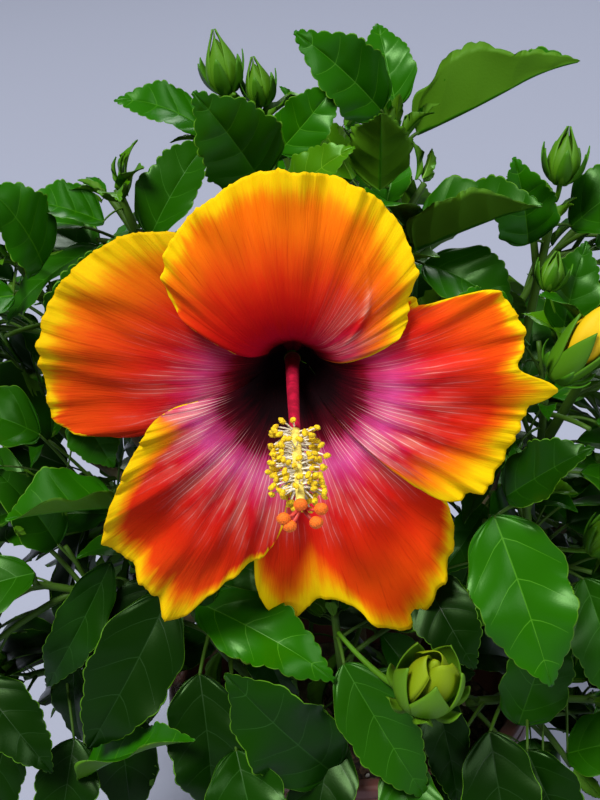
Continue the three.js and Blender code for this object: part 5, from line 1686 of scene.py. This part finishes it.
bough = limbs["bough_bloom"]
stalk_root = bough.point(1) + bough.tangent(1) * (CLEARANCE + 0.02)
stalk_tip = vec((THROAT[0], -CALYX_FACE + CALYX_LENGTH * 0.8, THROAT[2] - 1))
calyx_parts = [curved_tube(stalk_root, stalk_tip, arched_control(stalk_root, stalk_tip, 2),
                           (1.9, 2.1), 12, 12, 0)]
cup_foot = vec((THROAT[0], -CALYX_FACE + CALYX_LENGTH, THROAT[2] - 1))
cup_tip = cup_foot - vec((0, 1.55 * CALYX_LENGTH, 0))
calyx_parts.append(lobed_cup(cup_foot, cup_tip, CALYX_RADIUS, 5, 0.62, 18, 50))
calyx_parts += epicalyx(cup_foot - vec((0, 1, 0)), vec((0, -1, 0)), CALYX_RADIUS, 7, 9, 1, 1.0)
piece = make_piece("calyx_lobed", calyx_parts, [BUD_GREEN, BRACT_GREEN])
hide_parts("calyx")
pieces.append(piece)


# ---- pot and potting mix ----
def inner_radius(z):
    return POT_FOOT_RADIUS - POT_WALL + (POT_RIM_RADIUS - 4 - POT_FOOT_RADIUS) * z / POT_HEIGHT


def turned(profile, sides):
    turn = np.arange(sides) * 2 * math.pi / sides
    rows = np.array(profile, dtype=float)
    return np.stack([rows[:, :1] * np.cos(turn), rows[:, :1] * np.sin(turn),
                     rows[:, 1:] + 0 * turn], axis=-1)


def rounded(profile, reach=0.6, steps=4):
    """The profile with its corners turned over a small curve."""
    rows = [vec(p) for p in profile]
    made = [rows[0]]
    for before, corner, after in zip(rows, rows[1:], rows[2:]):
        into = min(reach, np.linalg.norm(before - corner) / 2.2)
        out = min(reach, np.linalg.norm(after - corner) / 2.2)
        a = corner + unit(before - corner) * into
        c = corner + unit(after - corner) * out
        for k in range(steps + 1):
            t = k / steps
            made.append((1 - t) ** 2 * a + 2 * t * (1 - t) * corner + t * t * c)
    return made + [rows[-1]]


band_foot = POT_HEIGHT - POT_BAND
outer = [(0.01, 0), (20, 0), (POT_FOOT_RADIUS - 1.5, 0), (inner_radius(1.5) + POT_WALL, 1.5),
         (inner_radius(band_foot) + POT_WALL, band_foot), (POT_RIM_RADIUS - 1, band_foot + 0.8),
         (POT_RIM_RADIUS, band_foot + 2), (POT_RIM_RADIUS, POT_HEIGHT - 6.5),
         (POT_RIM_RADIUS - 0.7, POT_HEIGHT - 6), (POT_RIM_RADIUS - 0.7, POT_HEIGHT - 5.2),
         (POT_RIM_RADIUS, POT_HEIGHT - 4.7), (POT_RIM_RADIUS, POT_HEIGHT - 1.4),
         (POT_RIM_RADIUS - 1.2, POT_HEIGHT), (inner_radius(POT_HEIGHT) + 1, POT_HEIGHT),
         (inner_radius(POT_HEIGHT), POT_HEIGHT - 1),
         (inner_radius(POT_WALL), POT_WALL), (20, POT_WALL), (0.01, POT_WALL)]
plastic = Finish("pot_plastic", linear(112, 68, 60), 0.5)
scuff = plastic.noise(38, 6, roughness=0.65)
dust = plastic.step(plastic.noise(14, 5), 0.46, 0.7)
body = plastic.mix(plastic.step(scuff, 0.35, 0.7), linear(98, 56, 50), linear(120, 74, 64))
plastic.color(plastic.mix(plastic.math("MULTIPLY", dust, 0.35), body, linear(134, 108, 92)))
plastic.rough(plastic.math("MULTIPLY_ADD", scuff, 0.3, 0.34))
plastic.bump(plastic.noise(900, 3), 0.12, 0.0004)
piece = make_piece("pot_turned", [tube(turned(rounded(outer), 128))], [plastic.material])
for k in range(DRAIN_HOLES):
    a = 2 * math.pi * k / DRAIN_HOLES
    at = vec((DRAIN_CIRCLE * math.cos(a), DRAIN_CIRCLE * math.sin(a), 0))
    rod = Limb("drain", at - vec((0, 0, 2)), at + vec((0, 0, 6)), at + vec((0, 0, 2)),
               DRAIN_RADIUS, DRAIN_RADIUS)
    cutter = make_piece("drain_cutter", [tube(limb_rings(rod, 32, 2))], [])
    cut = piece.modifiers.new("drain", "BOOLEAN")
    cut.operation = "DIFFERENCE"
    cut.solver = "EXACT"
    cut.object = cutter
    graph = bpy.context.evaluated_depsgraph_get()
    holed = bpy.data.meshes.new_from_object(piece.evaluated_get(graph))
    piece.modifiers.clear()
    piece.data = holed
    bpy.data.objects.remove(cutter)
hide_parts("pot")
pieces.append(piece)

edge_level = SOIL_LEVEL - SOIL_FALL
floor_level = POT_WALL + CLEARANCE
sides, steps = 120, 46
turn = np.arange(sides) * 2 * math.pi / sides
lip = inner_radius(edge_level) - CLEARANCE - 0.1
share = np.linspace(0.02, 1, steps)[:, None]
radius = lip * share + 0 * turn
level = np.interp(radius, (0, SOIL_CROWN_RADIUS, (SOIL_CROWN_RADIUS + POT_FOOT_RADIUS) / 2, lip),
                  (SOIL_LEVEL, SOIL_LEVEL, SOIL_LEVEL - 1.5, edge_level))
top = np.stack([radius * np.cos(turn), radius * np.sin(turn), level], axis=-1)
lumps = np.array([noise.noise(Vector(p * 0.11)) + 0.6 * noise.noise(Vector(p * 0.3))
                  for p in top.reshape(-1, 3)]).reshape(steps, sides)
top[..., 2] += np.where(share < 0.97, 1.5 * lumps - 1.3, -0.4)
wall = [turned([(inner_radius(z) - CLEARANCE - 0.1, z)], sides)[0]
        for z in np.linspace(edge_level - 2, floor_level, 4)]
rings = np.concatenate([top, np.array(wall),
                        turned([((inner_radius(floor_level)) * 0.5, floor_level)], sides)])
mix = Finish("potting_mix", linear(46, 34, 26), 0.95)
crumb = mix.node("TexVoronoi", {"Vector": mix.spot(), "Scale": 330.0}).outputs["Color"]
tint = mix.ramp(mix.node("SeparateColor", {"Color": crumb}).outputs[0], (
    (0.1, linear(28, 20, 15)), (0.5, linear(54, 40, 30)), (0.86, linear(78, 60, 44)),
    (1.0, linear(112, 92, 70))))
mix.color(tint)
mix.bump(mix.noise(520, 6), 0.9, 0.002)
piece = make_piece("potting_mix_top", [tube(rings)], [mix.material])
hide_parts("soil")
pieces.append(piece)

chips = []
for k in range(520):
    reach = (lip - 4) * math.sqrt(chance.random())
    a = 2 * math.pi * chance.random()
    height = np.interp(reach, (0, SOIL_CROWN_RADIUS, 43, lip),
                       (SOIL_LEVEL, SOIL_LEVEL, SOIL_LEVEL - 1.5, edge_level))
    size = 0.8 + 1.8 * chance.random() ** 2
    at = (reach * math.cos(a), reach * math.sin(a), height - 1.1)
    chips.append(tube(ball(at, (size, size * 0.6, size * 0.45), k, chance.random(3) - 0.5,
                           4, 6, 0.3), int(chance.random() > 0.93)))
chip = grainy("bark_chip", linear(86, 62, 42), 0.9, 260, 0.6)
perlite = grainy("perlite", linear(206, 202, 192), 0.9, 400, 0.4)
piece = make_piece("potting_chips", chips, [chip, perlite])
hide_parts("soil")
pieces.append(piece)

# ---- light, floor, and the pieces attached to the root body ----
FLOOR_SIZE = 14
floor = bpy.data.objects.new("floor", bpy.data.meshes.new("floor"))
h = FLOOR_SIZE / 2
floor.data.from_pydata([(-h, -h, 0), (h, -h, 0), (h, h, 0), (-h, h, 0)], [], [(0, 1, 2, 3)])
floor.location.z = -0.0005
bpy.context.scene.collection.objects.link(floor)
ground = Finish("pale_floor", linear(152, 157, 175), 0.9, Specular_IOR_Level=0.0)
floor.data.materials.append(ground.material)

world = bpy.data.worlds.new("studio")
bpy.context.scene.world = world
world.use_nodes = True
world.node_tree.nodes["Background"].inputs["Color"].default_value = linear(214, 214, 216)
world.node_tree.nodes["Background"].inputs["Strength"].default_value = 0.24


def softbox(name, at, toward, size, power, color):
    lamp = bpy.data.lights.new(name, "AREA")
    lamp.shape = "DISK"
    lamp.size = size
    lamp.energy = power
    lamp.color = color
    light = bpy.data.objects.new(name, lamp)
    light.location = at
    light.rotation_euler = (Vector(toward) - Vector(at)).to_track_quat("-Z", "Y").to_euler()
    bpy.context.scene.collection.objects.link(light)


softbox("key", (-1.9, -2.6, 4.6), (0, 0, 0.25), 2.0, 430, (1.0, 0.98, 0.95))
softbox("fill", (3.4, -2.2, 2.6), (0, 0, 0.25), 2.4, 85, (0.92, 0.95, 1.0))
softbox("back", (0.8, 3.8, 3.4), (0, 0, 0.25), 2.4, 90, (0.95, 0.97, 1.0))
bpy.context.scene.view_settings.view_transform = "Standard"

for piece in pieces:
    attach(piece, "root")
